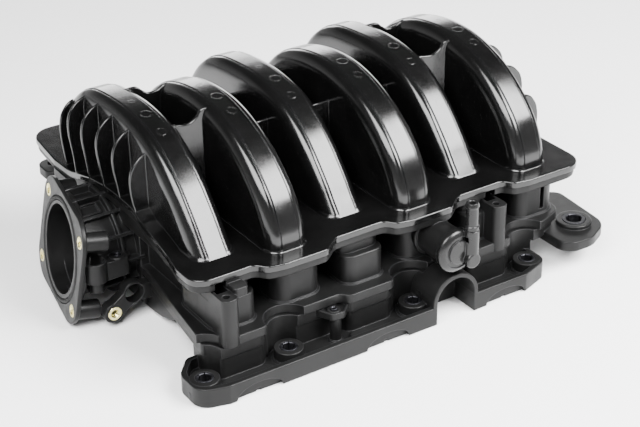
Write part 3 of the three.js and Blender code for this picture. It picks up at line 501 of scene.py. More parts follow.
def fin(y, tip, reach, floor):
    """One stiffening fin on the outer side of the first cover."""
    edge = [(COVER_SIDE_X - out * reach, tip - down) for out, down in FIN_EDGE if tip - down > floor + 8]
    edge.append((COVER_SIDE_X - FIN_BASE_REACH * reach, floor))
    line = [p for p, _ in crown_stations(edge, 2)]
    inner = COVER_SIDE_X + 3
    piece = plate([*line, Vector((inner, floor)), Vector((inner, tip + 0.5))], FIN_THICKNESS, 0.9)
    return moved(piece, Matrix.Translation((0, y, 0)))


def hump_height(y):
    for (y0, z0), (y1, z1) in zip(HUMP_TOP, HUMP_TOP[1:]):
        if y0 <= y <= y1:
            return z0 + (z1 - z0) * (y - y0) / (y1 - y0)
    return WELD_TOP


def fins():
    pieces = []
    for y, near_tip, far_tip, reach in FINS:
        pieces.append(fin(y, near_tip, reach, hump_height(y) - 2))
        pieces.append(moved(fin(y, far_tip, reach, WELD_TOP - 2), HALF_TURN))
    return pieces


def valley_rib(lip, y, skew):
    """An upright rib across a valley; its top follows the lip and its rims are rounded."""
    x0 = lip[0][0]
    line = [p for p, _ in crown_stations(lip, 1.5)]
    foot = [Vector((x0, WELD_TOP - 2)), Vector((lip[-1][0], WELD_TOP - 2))]
    piece = plate([*foot, *reversed(line)], RIB_THICKNESS, 1.2)
    shear = Matrix(((1, 0, 0, 0), (skew, 1, 0, y - skew * x0), (0, 0, 1, 0), (0, 0, 0, 1)))
    return moved(piece, shear)


def valley_ribs():
    pieces = []
    for lip, y in ((FRONT_RIB, FRONT_RIB_Y), (BACK_RIB, BACK_RIB_Y)):
        pieces.append(valley_rib(lip, y, RIB_SKEW))
        pieces.append(valley_rib([(x + 2 * PITCH, z) for x, z in lip], y, RIB_SKEW))
    for x0, x1, y, top in LOW_RIBS:
        pieces.append(valley_rib([(x0, top), (x1, top)], y, 0))
    return pieces


def hump_slice(top, bottom, lowest, x0, x1, rim=0.0):
    """A slice along the arched weld edge; top and bottom are depths below it, rim rounds its outer face."""
    line = [p for p, _ in crown_stations(HUMP_TOP, 4)]
    lower = [Vector((p.x, max(p.y - bottom, lowest))) for p in line]
    upper = [Vector((p.x, max(p.y - top, lowest + 0.01))) for p in reversed(line)]
    rings = []
    for shrink, x in edge_levels(x0, x1, rim, 0.0):
        rings.append([Vector((x, p.x, p.y)) for p in inset([*lower, *upper], shrink)])
    return loft(rings)


def crown_mark(crown, x, y, radius):
    """A small round mould mark: a thin raised ring on the strip."""
    nearest = min(crown_stations(crown, 2, STRIP_RISE), key=lambda s: abs(s[0].x - y) - s[1].y)
    point, outward = nearest
    base = Vector((x, point.x, point.y))
    direction = Vector((0, outward.x, outward.y))
    outer = rod(base - direction * 0.6, base + direction * 0.05, radius, 0.04, 32)
    inner = rod(base - direction * 0.1, base + direction * 1, radius - 0.55, 0, 32)
    return combine([outer], [inner])


# ---- weld flange ----
near_bulges = []
for port in reversed(FAR_X):
    near_bulges += [(port - 31, -121.2, 7), (port - 25, -129, 6)]
    near_bulges += [(port - 12, -131.9, 20), (port + 21, -132, 8)]
    if port < 120:
        near_bulges.append((port + 34, -121.6, 8))
far_bulges = []
for port in reversed(NEAR_X):
    if port < 90:
        far_bulges.append((port + 31, 116.2, 7))
    far_bulges += [(port + 25, 124, 6), (port + 12, 126.9, 20), (port - 21, 127, 8)]
    if port > -90:
        far_bulges.append((port - 34, 116.6, 8))
WELD_OUTLINE = [
    (-134.8, -121.4, 17), *near_bulges[:-1],
    (191.6, -132, 16), (191.6, 118, 16), (140, 118, 8), *far_bulges[:-1],
    (-92, 154.5, 12), (-127, 154.5, 18), (-132, 100, 30),
    (HUMP_EDGE_X, 79, 10), (HUMP_EDGE_X, -76, 20), (-134.8, -95, 20),
]
WELD_THICKNESS = WELD_TOP - WELD_SPLIT - GAP / 2
BEAD_TOP = WELD_TOP - WELD_SPLIT + GAP / 2
BEAD_BOTTOM = WELD_TOP - WELD_BOTTOM


def shrunk(corners, distance):
    """Moves the sides of an outline given by corners inwards, and keeps the corner radii."""
    points = inset([Vector(c[:2]) for c in corners], distance)
    return [(p.x, p.y, corner[2]) for p, corner in zip(points, corners)]


def weld_strip():
    """The upper half of the weld flange, with its arch over the duct."""
    room = hump_slice(WELD_THICKNESS, FAR_OUT, HUMP_LOWEST, HUMP_OUTSIDE_X, COVER_SIDE_X)
    flat = combine([slab(WELD_OUTLINE, WELD_SPLIT + GAP / 2, WELD_TOP, 0.3, 1.0)], [room])
    return [flat, hump_slice(0, WELD_THICKNESS, WELD_SPLIT + GAP / 2, HUMP_EDGE_X, -112, 0.9)]


def weld_bead():
    """The lower half of the weld flange: the bead under the strip and the arched wall under the bead."""
    inner = COVER_SIDE_X - GAP
    room = hump_slice(BEAD_BOTTOM, FAR_OUT, HUMP_LOWEST, HUMP_OUTSIDE_X, HUMP_WALL_X)
    flat = combine([slab(shrunk(WELD_OUTLINE, 1.2), WELD_BOTTOM, WELD_SPLIT - GAP / 2, 1.2, 0.3)], [room])
    return [
        flat,
        hump_slice(BEAD_TOP, BEAD_BOTTOM, WELD_BOTTOM, HUMP_EDGE_X + 1.2, inner, 1.0),
        hump_slice(BEAD_TOP, FAR_OUT, WELD_BOTTOM, HUMP_WALL_X, inner),
        block(HUMP_WALL_X, -112, -74, 77, WELD_BOTTOM, WELD_SPLIT - GAP / 2, 0.1),
    ]


def above_weld():
    """Everything over the weld at the duct."""
    inner = COVER_SIDE_X - GAP
    return [
        hump_slice(-FAR_OUT, BEAD_TOP, 0, HUMP_EDGE_X - GAP, inner),
        block(inner, 0, -60, 120, WELD_SPLIT - GAP / 2, 130, 0.1),
    ]


def upper_shell():
    low = [(x + LOW_COVER_SHIFT, LOW_CROWN) for x in NEAR_X]
    high = [(x, HIGH_CROWN) for x in FAR_X]
    parts = [*weld_strip(), *valley_ribs(), *fins()]
    parts += [runner_cover(crown, x) for x, crown in (*low, *high)]
    for x, crown in (*low, *high):
        first = LOW_MARK_Y if crown is LOW_CROWN else HIGH_MARK_Y
        parts += [crown_mark(crown, x, first + along, radius) for along, radius in CROWN_MARKS]
    return combine(parts, [runner_hollow(crown, x) for x, crown in (*low, *high)])


# ---- passages and plenum ----
def passage(x):
    """One runner's way down from the weld flange to its head port."""
    knots = [(-87, 84), (-90, 66), (-101, 44), (-112, 20), (PORT_Y, -4)]
    outline = rounded(rectangle(-12.5, 12.5, -9.5, 9.5, 6), 4)
    rings = []
    for point, outward in crown_stations(knots, 6):
        places = [(p.x, point + outward * p.y) for p in outline]
        rings.append([Vector((x + across, place.x, place.y)) for across, place in places])
    return loft(rings)


def near_passages():
    ports = [slab(oval(x, PORT_Y, *PORT_SIZE), -1, PORT_MOUTH_DEPTH) for x in NEAR_X]
    return combine([passage(x) for x in NEAR_X] + ports)


def plenum(z0, z1):
    return slab(rectangle(-106, 152, -72, 67, 18), z0, z1)


# ---- the plate between middle and lower shell ----
plate_near = []
for port in NEAR_X:
    plate_near += [(port - 25, -127, 5), (port - 21, -133.2, 7), (port + 16, -133.2, 8), (port + 22, -127, 5)]
plate_far = [(BANK_OFFSET - x, MIRROR_Y - y, radius) for x, y, radius in plate_near[1:]]
PLATE_OUTLINE = [
    (-133.5, -118, 6), *plate_near[1:], (158, -127, 10), (181, -118.5, 12), (181, 20, 20), *plate_far,
    (-111.5, 122, 10), (-124, 100, 16), (-120.5, -20, 60),
]


def bolt_reliefs(radius, z0, z1):
    return [piece for x in BOLT_X for piece in both_sides(post(x, BOLT_Y, radius, z0, z1))]


# ---- throttle duct ----
def throttle_matrix():
    """Frame of the throttle face: x to the near side, y up, z out of the bore."""
    normal = Vector((
        -math.cos(THROTTLE_YAW) * math.cos(THROTTLE_PITCH),
        math.sin(THROTTLE_YAW) * math.cos(THROTTLE_PITCH),
        math.sin(THROTTLE_PITCH),
    ))
    across = Vector((0, 0, 1)).cross(normal).normalized()
    up = normal.cross(across)
    axes = Matrix((across, up, normal)).transposed().to_4x4()
    return Matrix.Translation(THROTTLE_CENTRE) @ axes @ Matrix.Rotation(THROTTLE_ROLL, 4, "Z")


THROTTLE = throttle_matrix()


def at_throttle(piece):
    return moved(piece, THROTTLE)


def throttle_rod(x, y, radius, z0, z1, edge=0.0, segments=40):
    return at_throttle(post(x, y, radius, z0, z1, edge, segments))


def duct_rod(radius, x1, x0=THROTTLE_CENTRE.x + 4):
    y, z = THROTTLE_CENTRE.y, THROTTLE_CENTRE.z
    return rod((x0, y, z), (x1, y, z - 1), radius, 0, 96)


def on_duct(piece, degrees):
    """Turns a solid made above the X axis round the duct's axis."""
    centre = Matrix.Translation((0, THROTTLE_CENTRE.y, THROTTLE_CENTRE.z))
    return moved(piece, centre @ Matrix.Rotation(math.radians(degrees), 4, "X"))


RIB_ANGLES = [-62, -38, -14, 12, 38, 64, 92, 118]


def along_duct(x0, x1, extra, edge=0.0):
    """A round bar on the duct's axis, thicker than the duct."""
    y, z = THROTTLE_CENTRE.y, THROTTLE_CENTRE.z - 0.7
    return rod((x0, y, z), (x1, y, z), BORE_RADIUS + DUCT_WALL + extra, edge, 96)


def duct_ribs():
    """The lengthwise ribs, cut to a round outline."""
    ribs = combine([on_duct(block(-163, -117, -1.1, 1.1, 29, 43, 0.5), angle) for angle in RIB_ANGLES])
    envelope = along_duct(-160, -112, 5.5)
    fit = ribs.modifiers.new("fit", "BOOLEAN")
    fit.solver = "MANIFOLD"
    fit.operation = "INTERSECT"
    fit.object = envelope
    ribs = combine([ribs])
    bpy.data.objects.remove(envelope)
    return ribs


def throttle_duct():
    half_width, half_height = FLANGE_HALF
    outline = rectangle(-half_width, half_width, -half_height, half_height, 20)
    parts = [
        at_throttle(slab(outline, -FLANGE_THICKNESS, 0, 0.8, 0.8, 10)),
        throttle_rod(0, 0, HUB_RADIUS, -HUB_DEPTH, -1, 0.8, 96),
        duct_ribs(),
        raised_frame(),
        duct_rod(BORE_RADIUS + DUCT_WALL, DUCT_END_X),
        along_duct(-134, -131, 4.5, 0.8),
        *[throttle_rod(x, y, 7, -20, -1, 1.2) for x, y in THROTTLE_BOLTS],
    ]
    beyond_face = at_throttle(slab(rectangle(-60, 60, -60, 60, 1), 0, 30))
    return combine(parts, [beyond_face, *above_weld()])


def raised_frame():
    """The small raised rectangle between two ribs on top of the duct."""
    surface = BORE_RADIUS + DUCT_WALL
    rim = block(-156, -138, -5.5, 5.5, 30, surface + 1.6, 0.4)
    hollow = block(-154.6, -139.4, -4.1, 4.1, surface - 0.2, 60, 0.2)
    return on_duct(combine([rim], [hollow]), 25)


def throttle_cuts():
    inner, outer = THROTTLE_GROOVE
    groove = combine([throttle_rod(0, 0, outer, -3, 2, 0, 96)], [throttle_rod(0, 0, inner, -4, 3, 0, 96)])
    cuts = [duct_rod(BORE_RADIUS, -100), throttle_rod(0, 0, BORE_RADIUS, -12, 2, 0, 96), groove]
    cuts += [throttle_rod(x, y, INSERT_RADIUS + GAP, -INSERT_LENGTH - 0.5, 2) for x, y in THROTTLE_BOLTS]
    return cuts


# ---- small brackets at the throttle end ----
def sensor_bracket():
    x, y, top = SENSOR_CUP
    screw_x, screw_y = SENSOR_SCREW
    return [
        post(x, y, 9, 38, top, 1.0),
        post(x, y, 5.2, 29, 40, 0.8),
        slab(rectangle(x - 1, -131, -19, -7, 3), 37.5, 52, 1.0, 1.0),
        post(screw_x, screw_y, 6, 37.5, 53, 0.8),
        block(-150, -128, -12, 2, 38, 51, 0.8),
    ]


def sensor_cuts():
    x, y, _ = SENSOR_CUP
    screw = post(*SENSOR_SCREW, SENSOR_INSERT_RADIUS + GAP, 43, 60)
    return [post(x, y, 7, 41, 60), post(x, y, 3, 25, 45), screw]


def across_link(point, radius, y0, y1, edge=0.0):
    return rod((point[0], y0, point[1]), (point[0], y1, point[1]), radius, edge)


def hook_link():
    dx = LINK_HOLE[0] - LINK_INSERT[0]
    dz = LINK_HOLE[1] - LINK_INSERT[1]
    middle = ((LINK_HOLE[0] + LINK_INSERT[0]) / 2, 0, (LINK_HOLE[1] + LINK_INSERT[1]) / 2)
    slope = Matrix.Translation(middle) @ Matrix.Rotation(-math.atan2(dz, dx), 4, "Y")
    span = moved(block(-10, 10, *LINK_Y, -6.5, 6.5, 1.0), slope)
    return [
        across_link(LINK_HOLE, LINK_HOLE_RADIUS + 1.5, *LINK_Y, 0.7),
        across_link(LINK_INSERT, 7.8, *LINK_Y, 1.0),
        span,
        block(-126, -112, *LINK_Y, 15, 28, 0.8),
    ]


def hook_link_cuts():
    return [
        across_link(LINK_HOLE, LINK_HOLE_RADIUS, -30, LINK_Y[1] + 1),
        across_link(LINK_INSERT, LINK_INSERT_RADIUS + GAP, -30, LINK_Y[1] + 1),
    ]


# ---- middle shell ----
POSTS = [(-115, -104), (111, -104)]


def hollow_post(x, y_back):
    outline = [(x - 6.3, BOLT_Y - 3, 5), (x + 6.3, BOLT_Y - 3, 5), (x + 6.3, y_back, 1), (x - 6.3, y_back, 1)]
    return slab(outline, PLATE_SPLIT + GAP / 2, 68, 0.3, 0.7)


def post_cuts(x):
    return [block(x - 4.4, x + 4.4, -122.5, -107, 50, 80, 0.8), post(x - 1, -128.6, 2.6, 50, 80)]


STUB_HALF = 17.0
STUB_BACK = -70.0
STUB_BASE = 30.0
STUB_FOOT = 1.3  # how far a stub's foot stands out
STUB_FOOT_TOP = PLATE_TOP + 1.1
HIGH_STUB_END = 27.0
STUB_SLOT = (162.5, 166, -125, -112, 42, 66)


def low_stub(x):
    near = -122.0
    foot = rectangle(x - STUB_HALF - STUB_FOOT, x + STUB_HALF + STUB_FOOT, near - STUB_FOOT, STUB_BACK, 10)
    return [
        slab(rectangle(x - STUB_HALF, x + STUB_HALF, near, STUB_BACK, 9), STUB_BASE, 60, 0, 1.5),
        slab(rectangle(x - 16.5, x + 16.5, -116, STUB_BACK, 9), 50, 72),
        slab(foot, STUB_BASE, STUB_FOOT_TOP, 0, 0.6),
    ]


def high_stub(x):
    near = -116.5
    start = x - 11
    end = x + HIGH_STUB_END
    foot = rectangle(start - STUB_FOOT, end + STUB_FOOT, near - STUB_FOOT, STUB_BACK, 13)
    return [
        slab(rectangle(x - STUB_HALF, end, near, STUB_BACK, 12), 60, 72, 2.0),
        slab(rectangle(start, end, near, STUB_BACK, 12), STUB_BASE, 62),
        slab(foot, STUB_BASE, STUB_FOOT_TOP, 0, 0.6),
    ]


def vacuum_rod(y0, y1, radius, edge=0.0, segments=40):
    """A round bar on the axis of the vacuum stub."""
    return rod((VACUUM_X, y0, VACUUM_Z), (VACUUM_X, y1, VACUUM_Z), radius, edge, segments)


def middle_shell():
    core_corners = rectangle(-114, 160, -77, 72, 14)
    stubs = [piece for x in NEAR_X for piece in low_stub(x + LOW_COVER_SHIFT)]
    stubs += [piece for x in FAR_X for piece in high_stub(x)]
    near_side = combine(stubs, [band(-20, PLATE_SPLIT + GAP / 2)])
    top_plate = slab(PLATE_OUTLINE, PLATE_SPLIT + GAP / 2, PLATE_TOP, 0.3, 0.9)
    top_plate = combine([top_plate], bolt_reliefs(17, 20, 50))
    parts = [
        *weld_bead(),
        slab(rectangle(-110, -99, -130, -100, 3), 65, 72, 0.8, 0.8),
        top_plate,
        slab(core_corners, PLATE_SPLIT + GAP / 2, 72),
        *both_sides(near_side),
        *[hollow_post(*where) for where in POSTS],
        vacuum_rod(-72, VACUUM_CAP_Y + GAP, VACUUM_RADIUS, 1.0, 64),
        vacuum_rod(-120, -123, VACUUM_RADIUS + 2, 1.0, 64),
        block(VACUUM_X - 2, VACUUM_X + 2, -140, -100, 37, 50, 0.5),
        block(-121, -108, -14, 68, 6, 72, 1.0),
        throttle_duct(),
        *sensor_bracket(),
        *hook_link(),
        slab(rectangle(-132, -112, 112, 138, 9), 54, 62, 0.8, 0.8),
        block(-124, -104, 60, 122, 54, 62, 0.8),
    ]
    cuts = [
        plenum(0, 80), *both_sides(near_passages()), *throttle_cuts(), *sensor_cuts(), *hook_link_cuts(),
        vacuum_rod(-60, -160, VACUUM_BORE),
        post(-122, 128, 4, 50, 70),
        block(*STUB_SLOT, 0.3),
    ]
    for x, _ in POSTS:
        cuts += post_cuts(x)
    return combine(parts, cuts)


# ---- lower shell ----
TRAY_OUTLINE = [
    (-149, -144, 12), (-128, RIM_Y, 3), (124, RIM_Y, 6), (150, -141, 10), (150, -116, 8), (140, -104, 6),
    (-136, -104, 6), (-149, -119, 12),
]


def head_flange():
    rim = combine(
        [slab(TRAY_OUTLINE, 0, RIM_TOP, 0.5, 0.9)],
        [slab(shrunk(TRAY_OUTLINE, RIM_THICKNESS), TRAY_FLOOR, 40)],
    )
    parts = [rim]
    for x in BOLT_X:
        parts.append(post(x, BOLT_Y, BOSS_RADIUS, 0.2, SLEEVE_LENGTH - 0.4, 0.8, 56))
        parts.append(post(x, BOLT_Y, BOSS_RADIUS + 1.6, 0.2, TRAY_FLOOR + 1.2, 0.8, 56))
    for x in NEAR_X:
        parts.append(slab(oval(x - 3, -139, 42, 13), 0.2, 8.4, 0, 1.0))
    return combine(parts)


def head_flange_cuts():
    cuts = []
    for x in BOLT_X:
        cuts.append(post(x, BOLT_Y, SLEEVE_RADIUS + GAP, -1, 20))
    for x in NEAR_X:
        scoop = turned([(18, -2), (18, 1.8), (17, 3.4)], 64, Matrix.Diagonal((1, 0.5, 1, 1)))
        cuts.append(moved(scoop, Matrix.Translation((x, RIM_Y + 1.2, 0)) @ TO_NEAR_SIDE))
        cuts.append(block(x - 1.6, x + 1.6, RIM_Y - 1, RIM_Y + 4, -1, 2, 0.3))
        seat = slab(oval(x, PORT_Y, PORT_SIZE[0] + 9, PORT_SIZE[1] + 9), -1, 3.0)
        island = slab(oval(x, PORT_Y, PORT_SIZE[0] + 3, PORT_SIZE[1] + 3), -2, 5)
        cuts.append(combine([seat], [island]))
    return cuts


def cable_arch():
    body = [
        rod((ARCH_X, RIM_Y, ARCH_Z), (ARCH_X, -122, ARCH_Z), ARCH_RADIUS, 0.8, 72),
        block(ARCH_X - ARCH_RADIUS, ARCH_X + ARCH_RADIUS, RIM_Y, -122, 0, ARCH_Z, 0.2),
    ]
    room = [
        block(0, 100, -127.4, -100, PLATE_SPLIT - GAP / 2, 60, 0.1),
        block(0, 100, -200, -100, -50, 0, 0.1),
    ]
    return combine(body, room)


def cable_arch_cuts():
    inner = ARCH_RADIUS - ARCH_WALL
    return [
        rod((ARCH_X, RIM_Y - 5, ARCH_Z), (ARCH_X, -126, ARCH_Z), inner, 0, 72),
        block(ARCH_X - inner, ARCH_X + inner, RIM_Y - 5, -126, -1, 14, 0.1),
    ]


def lifting_ear():
    outline = [
        (163, -149, 15), (188, -150, 20), (210, -138, 18), (215.07, -78, 10), (168, -60, 6), (163, -104, 8),
    ]
    return [
        slab(outline, 17, 25, 0.8, 1.0, 10),
        post(*EAR_HOLE, 13.5, 10, 28, 1.0, 56),
    ]


def pin_bracket():
    outline = [(-46, -120, 1), (-38, -137, 4), (-29, -138, 4), (-20, -130, 2), (-19, -120, 1)]
    x, y = BRACKET_HOLE
    tray = combine(
        [slab(outline, 25, 30.5, 0.5, 0.4)],
        [slab(shrunk(outline, 1.3), 28.6, 40)],
    )
    return [
        tray,
        post(x, y, 4.6, 25, 30.2, 0.4),
        post(x, y - 2, 4, 3, 28, 0.5),
        post(x, y - 2, 5.4, 3, TRAY_FLOOR + 1.5, 0.7),
    ]


# bottom of the trough, as distance from its middle line and height
BELLY_BOTTOM = [
    (0, 2), (10, 2.1), (20, 2.4), (34, 4.4), (46, 8.6), (57, 15), (67, 22.5), (76, 30.5), (77, 40),
]
BELLY_Y = -2.5
BELLY_X = (-118, 166)
BELLY_WALL = 3.5
PLENUM_X = (-102, 148)


def belly_ring(x, inward):
    """Outline of the trough at x, with its bottom moved inwards."""
    widest = BELLY_BOTTOM[-1][0]
    half = [(out - inward * out / widest, z + inward) for out, z in BELLY_BOTTOM]
    near = [Vector((x, BELLY_Y - out, z)) for out, z in reversed(half)]
    far = [Vector((x, BELLY_Y + out, z)) for out, z in half[1:]]
    return near + far


def belly(inward, x0, x1):
    """The round-bottomed trough under the plate, with softened end edges."""
    ends = [(x0, 1.5), (x0 + 0.5, 0.5), (x0 + 1.5, 0), (x1 - 1.5, 0), (x1 - 0.5, 0.5), (x1, 1.5)]
    trough = loft([belly_ring(x, inward + soft) for x, soft in ends])
    return combine([trough], [band(30, 80)])


def lower_shell():
    skirt = slab(shrunk(PLATE_OUTLINE, 2.4), 22, PLATE_SPLIT - GAP / 2, 0.5, 0.4)
    near_wall = combine([slab(shrunk(PLATE_OUTLINE, 3.4), 2, 24)], [
        block(-WIDE, WIDE, -100, WIDE, -10, 60, 0.1),
        block(150, WIDE, -WIDE, WIDE, -10, 60, 0.1),
    ])
    walls = combine([skirt, *both_sides(near_wall)], bolt_reliefs(14.5, TRAY_FLOOR, 60))
    flange = head_flange()
    near_cuts = combine(head_flange_cuts())
    parts = [
        walls, belly(0, *BELLY_X), *both_sides(flange), cable_arch(), *lifting_ear(), *pin_bracket(),
    ]
    cuts = [
        belly(BELLY_WALL, *PLENUM_X), plenum(PLATE_SPLIT - 3, 50),
        *both_sides(near_passages()), *both_sides(near_cuts), *cable_arch_cuts(),
        post(*EAR_HOLE, EAR_SLEEVE_RADIUS + GAP, 0, 40, 0, 56),
        post(*BRACKET_HOLE, PIN_RADIUS + GAP, 18, 40),
        block(-140, -107.6, -14.4, 68.4, 5.6, 40, 0.1),
        duct_rod(BORE_RADIUS + DUCT_WALL + GAP, -107, -175),
        *hook_link(),
    ]
    return combine(parts, cuts)


# ---- small parts ----
def bolt_sleeve(x, y, heights, outer, bore, grooves):
    """A steel tube between two heights, with a chamfered bore and slots across it."""
    z0, z1 = heights
    body = post(x, y, outer, z0, z1, 0.4, 56)
    cuts = [post(x, y, bore, z0 - 1, z1 + 1, 0, 48)]
    chamfer = [(bore, z1 - 0.5), (bore + 0.8, z1 + 0.3)]
    cuts.append(turned(chamfer, 48, Matrix.Translation((x, y, 0))))
    for i in range(grooves):
        slot = block(-bore - 0.8, bore + 0.8, -0.45, 0.45, z0 - 1, z1 + 1, 0.1)
        turn = Matrix.Rotation(math.pi * i / grooves, 4, "Z")
        cuts.append(moved(slot, Matrix.Translation((x, y, 0)) @ turn))
    return combine([body], cuts)


def bead_loop(outline, z, width, height):
    """A closed rubber bead with a rounded section that follows an outline."""
    rings = []
    for way in unit_circle(12):
        up = way.y * height / 2
        rings.append([Vector((p.x, p.y, z + up)) for p in inset(outline, way.x * width / 2)])
    return loft(rings, True)


def port_seal(x):
    outline = rounded(oval(x, PORT_Y, PORT_SIZE[0] + 6, PORT_SIZE[1] + 6), 10)
    return bead_loop(outline, PORT_SEAL_HEIGHT / 2, PORT_SEAL_WIDTH, PORT_SEAL_HEIGHT)


def throttle_seal():
    circle = [p * THROTTLE_SEAL_RADIUS for p in unit_circle(96)]
    return at_throttle(bead_loop(circle, -0.95, 3.2, 3.5))


def knurled_insert(radius, bore, length):
    """A brass insert with a flat face, a chamfered thread bore and a knurled body, along Z up to z 0."""
    teeth = 36
    rings = []
    for depth, share in ((-length, 1.0), (-1.2, 1.0), (-1.1, 0.0), (-0.25, 0.0), (0.0, 0.0)):
        trim = 0.25 if depth in (-length, 0.0) else 0.0
        ring = []
        for k in range(teeth * 2):
            angle = math.pi * k / teeth
            reach = radius - trim - share * 0.3 * (k % 2)
            ring.append(Vector((reach * math.cos(angle), reach * math.sin(angle), depth)))
        rings.append(ring)
    cuts = [post(0, 0, bore, -length - 1, 1)]
    cuts.append(turned([(bore, -0.7), (bore + 1.0, 0.3)], 40))
    for z in (-1.6, -2.5, -3.4):
        cuts.append(turned([(bore - 0.1, z), (bore + 0.25, z + 0.35), (bore - 0.1, z + 0.7)], 32))
    return combine([loft(rings)], cuts)


def fitting_cap():
    place = Matrix.Translation((VACUUM_X, VACUUM_CAP_Y, VACUUM_Z)) @ TO_NEAR_SIDE
    disc = turned(
        [
            (16.3, 0), (16.6, 0.3), (16.6, 3.3), (16.2, 4.3), (15, 5.5),
            (12.8, 6.5), (10, 7.2), (5, 7.7), (0.5, 7.9),
        ],
        72, place,
    )
    groove = combine([turned([(12, 5.9), (12.4, 10)], 72, place)], [turned([(9, 5), (8.6, 11)], 72, place)])
    x, y = NIPPLE
    riser = post(x, y, 5.6, VACUUM_Z - 8, VACUUM_Z + 16, 0.8, 56)
    knob = rod((x - 1, -149, VACUUM_Z - 7), (x - 1, -161, VACUUM_Z - 7), KNOB_RADIUS, 1.6, 56)
    neck = block(x - 4, x + 4, -156, -149, VACUUM_Z - 8, VACUUM_Z + 12, 1.0)
    return combine([disc, riser, knob, neck], [groove, post(x, y, 3.4, VACUUM_Z - 2, VACUUM_Z + 20)])


def hose_nipple():
    profile = [
        (5.0, 0), (5.3, 0.3), (5.3, 2.7), (5.0, 3.1), (4.6, 3.6), (4.6, 16.6), (4.7, 17.2), (5.1, 18),
        (5.0, 18.6), (4.5, 20.7), (4.2, 21),
    ]
    place = Matrix.Translation((*NIPPLE, VACUUM_Z + 16 + GAP))
    bore = turned([(2.4, -1), (2.4, 20.4), (3.0, 21.1)], 40, place)
    return combine([turned(profile, 56, place)], [bore])


# ---- materials ----
def node_tree(name):
    material = bpy.data.materials.new(name)
    material.use_nodes = True
    tree = material.node_tree
    shader = tree.nodes["Principled BSDF"]
    return material, tree, shader


def noise(tree, scale, detail=3.0, distortion=0.0):
    place = tree.nodes.new("ShaderNodeTexCoord")
    texture = tree.nodes.new("ShaderNodeTexNoise")
    texture.inputs["Scale"].default_value = scale
    texture.inputs["Detail"].default_value = detail
    texture.inputs["Distortion"].default_value = distortion
    tree.links.new(place.outputs["Object"], texture.inputs["Vector"])
    return texture.outputs["Fac"]


def ramp(tree, value, stops):
    """Maps a 0 to 1 value to colours; stops are (position, colour or grey)."""
    node = tree.nodes.new("ShaderNodeValToRGB")
    elements = node.color_ramp.elements
    while len(elements) < len(stops):
        elements.new(0.5)
    for element, (position, colour) in zip(elements, stops):
        element.position = position
        if isinstance(colour, (int, float)):
            colour = (colour, colour, colour)
        element.color = (*colour, 1)
    tree.links.new(value, node.inputs["Fac"])
    return node.outputs["Color"]


def edge_highlight_mask(tree, radius):
    """1 along outer and inner edges, 0 on open faces; it places the painted edge highlight."""
    bevel = tree.nodes.new("ShaderNodeBevel")
    bevel.samples = 6
    bevel.inputs["Radius"].default_value = radius
    geometry = tree.nodes.new("ShaderNodeNewGeometry")
    dot = tree.nodes.new("ShaderNodeVectorMath")
    dot.operation = "DOT_PRODUCT"
    tree.links.new(bevel.outputs["Normal"], dot.inputs[0])
    tree.links.new(geometry.outputs["Normal"], dot.inputs[1])
    spread = tree.nodes.new("ShaderNodeMapRange")
    spread.inputs["From Min"].default_value = 1.0
    spread.inputs["From Max"].default_value = 0.86
    tree.links.new(dot.outputs["Value"], spread.inputs["Value"])
    return spread.outputs["Result"], bevel.outputs["Normal"]


def mix(tree, factor, a, b):
    node = tree.nodes.new("ShaderNodeMix")
    node.data_type = "RGBA"
    tree.links.new(factor, node.inputs["Factor"])
    for value, socket in ((a, node.inputs[6]), (b, node.inputs[7])):
        if isinstance(value, tuple):
            socket.default_value = (*value, 1)
        else:
            tree.links.new(value, socket)
    return node.outputs[2]


def bump(tree, height, distance, strength, normal=None):
    node = tree.nodes.new("ShaderNodeBump")
    node.inputs["Distance"].default_value = distance
    node.inputs["Strength"].default_value = strength
    tree.links.new(height, node.inputs["Height"])
    if normal is not None:
        tree.links.new(normal, node.inputs["Normal"])
    return node.outputs["Normal"]


def moulded(name, tones, rough, grain, specular):
    """Moulded plastic: cloudy colour, a painted highlight along every edge, uneven gloss and a fine grain.

    tones is (dark, light, edge), where edge is the colour of the painted edge highlight, rough is (low, high)
    and grain is (scale, depth).
    """
    material, tree, shader = node_tree(name)
    dark, light, edge = tones
    cloud = ramp(tree, noise(tree, 38, 5, 0.6), [(0.35, dark), (0.7, light)])
    # Painted highlight: every outer and inner edge gets the paler edge colour, in place of light caught by
    # rounded edges.
    highlight_mask, soft_normal = edge_highlight_mask(tree, 0.0009)
    painted_edge_highlight = tuple(edge * tint for tint in (1, 1, 1.06))
    tree.links.new(mix(tree, highlight_mask, cloud, painted_edge_highlight), shader.inputs["Base Color"])
    gloss = ramp(tree, noise(tree, 120, 6, 0.3), [(0.3, rough[0]), (0.75, rough[1])])
    tree.links.new(gloss, shader.inputs["Roughness"])
    shader.inputs["Specular IOR Level"].default_value = specular
    fine = bump(tree, noise(tree, grain[0], 2), grain[1], 0.5, soft_normal)
    tree.links.new(fine, shader.inputs["Normal"])
    return material


def metal(name, dark, light, rough):
    material, tree, shader = node_tree(name)
    shader.inputs["Metallic"].default_value = 1.0
    tone = ramp(tree, noise(tree, 420, 4, 0.8), [(0.3, dark), (0.7, light)])
    tree.links.new(tone, shader.inputs["Base Color"])
    gloss = ramp(tree, noise(tree, 900, 3), [(0.3, rough[0]), (0.7, rough[1])])
    tree.links.new(gloss, shader.inputs["Roughness"])
    tree.links.new(bump(tree, noise(tree, 2600, 2), 0.00004, 0.4), shader.inputs["Normal"])
    return material


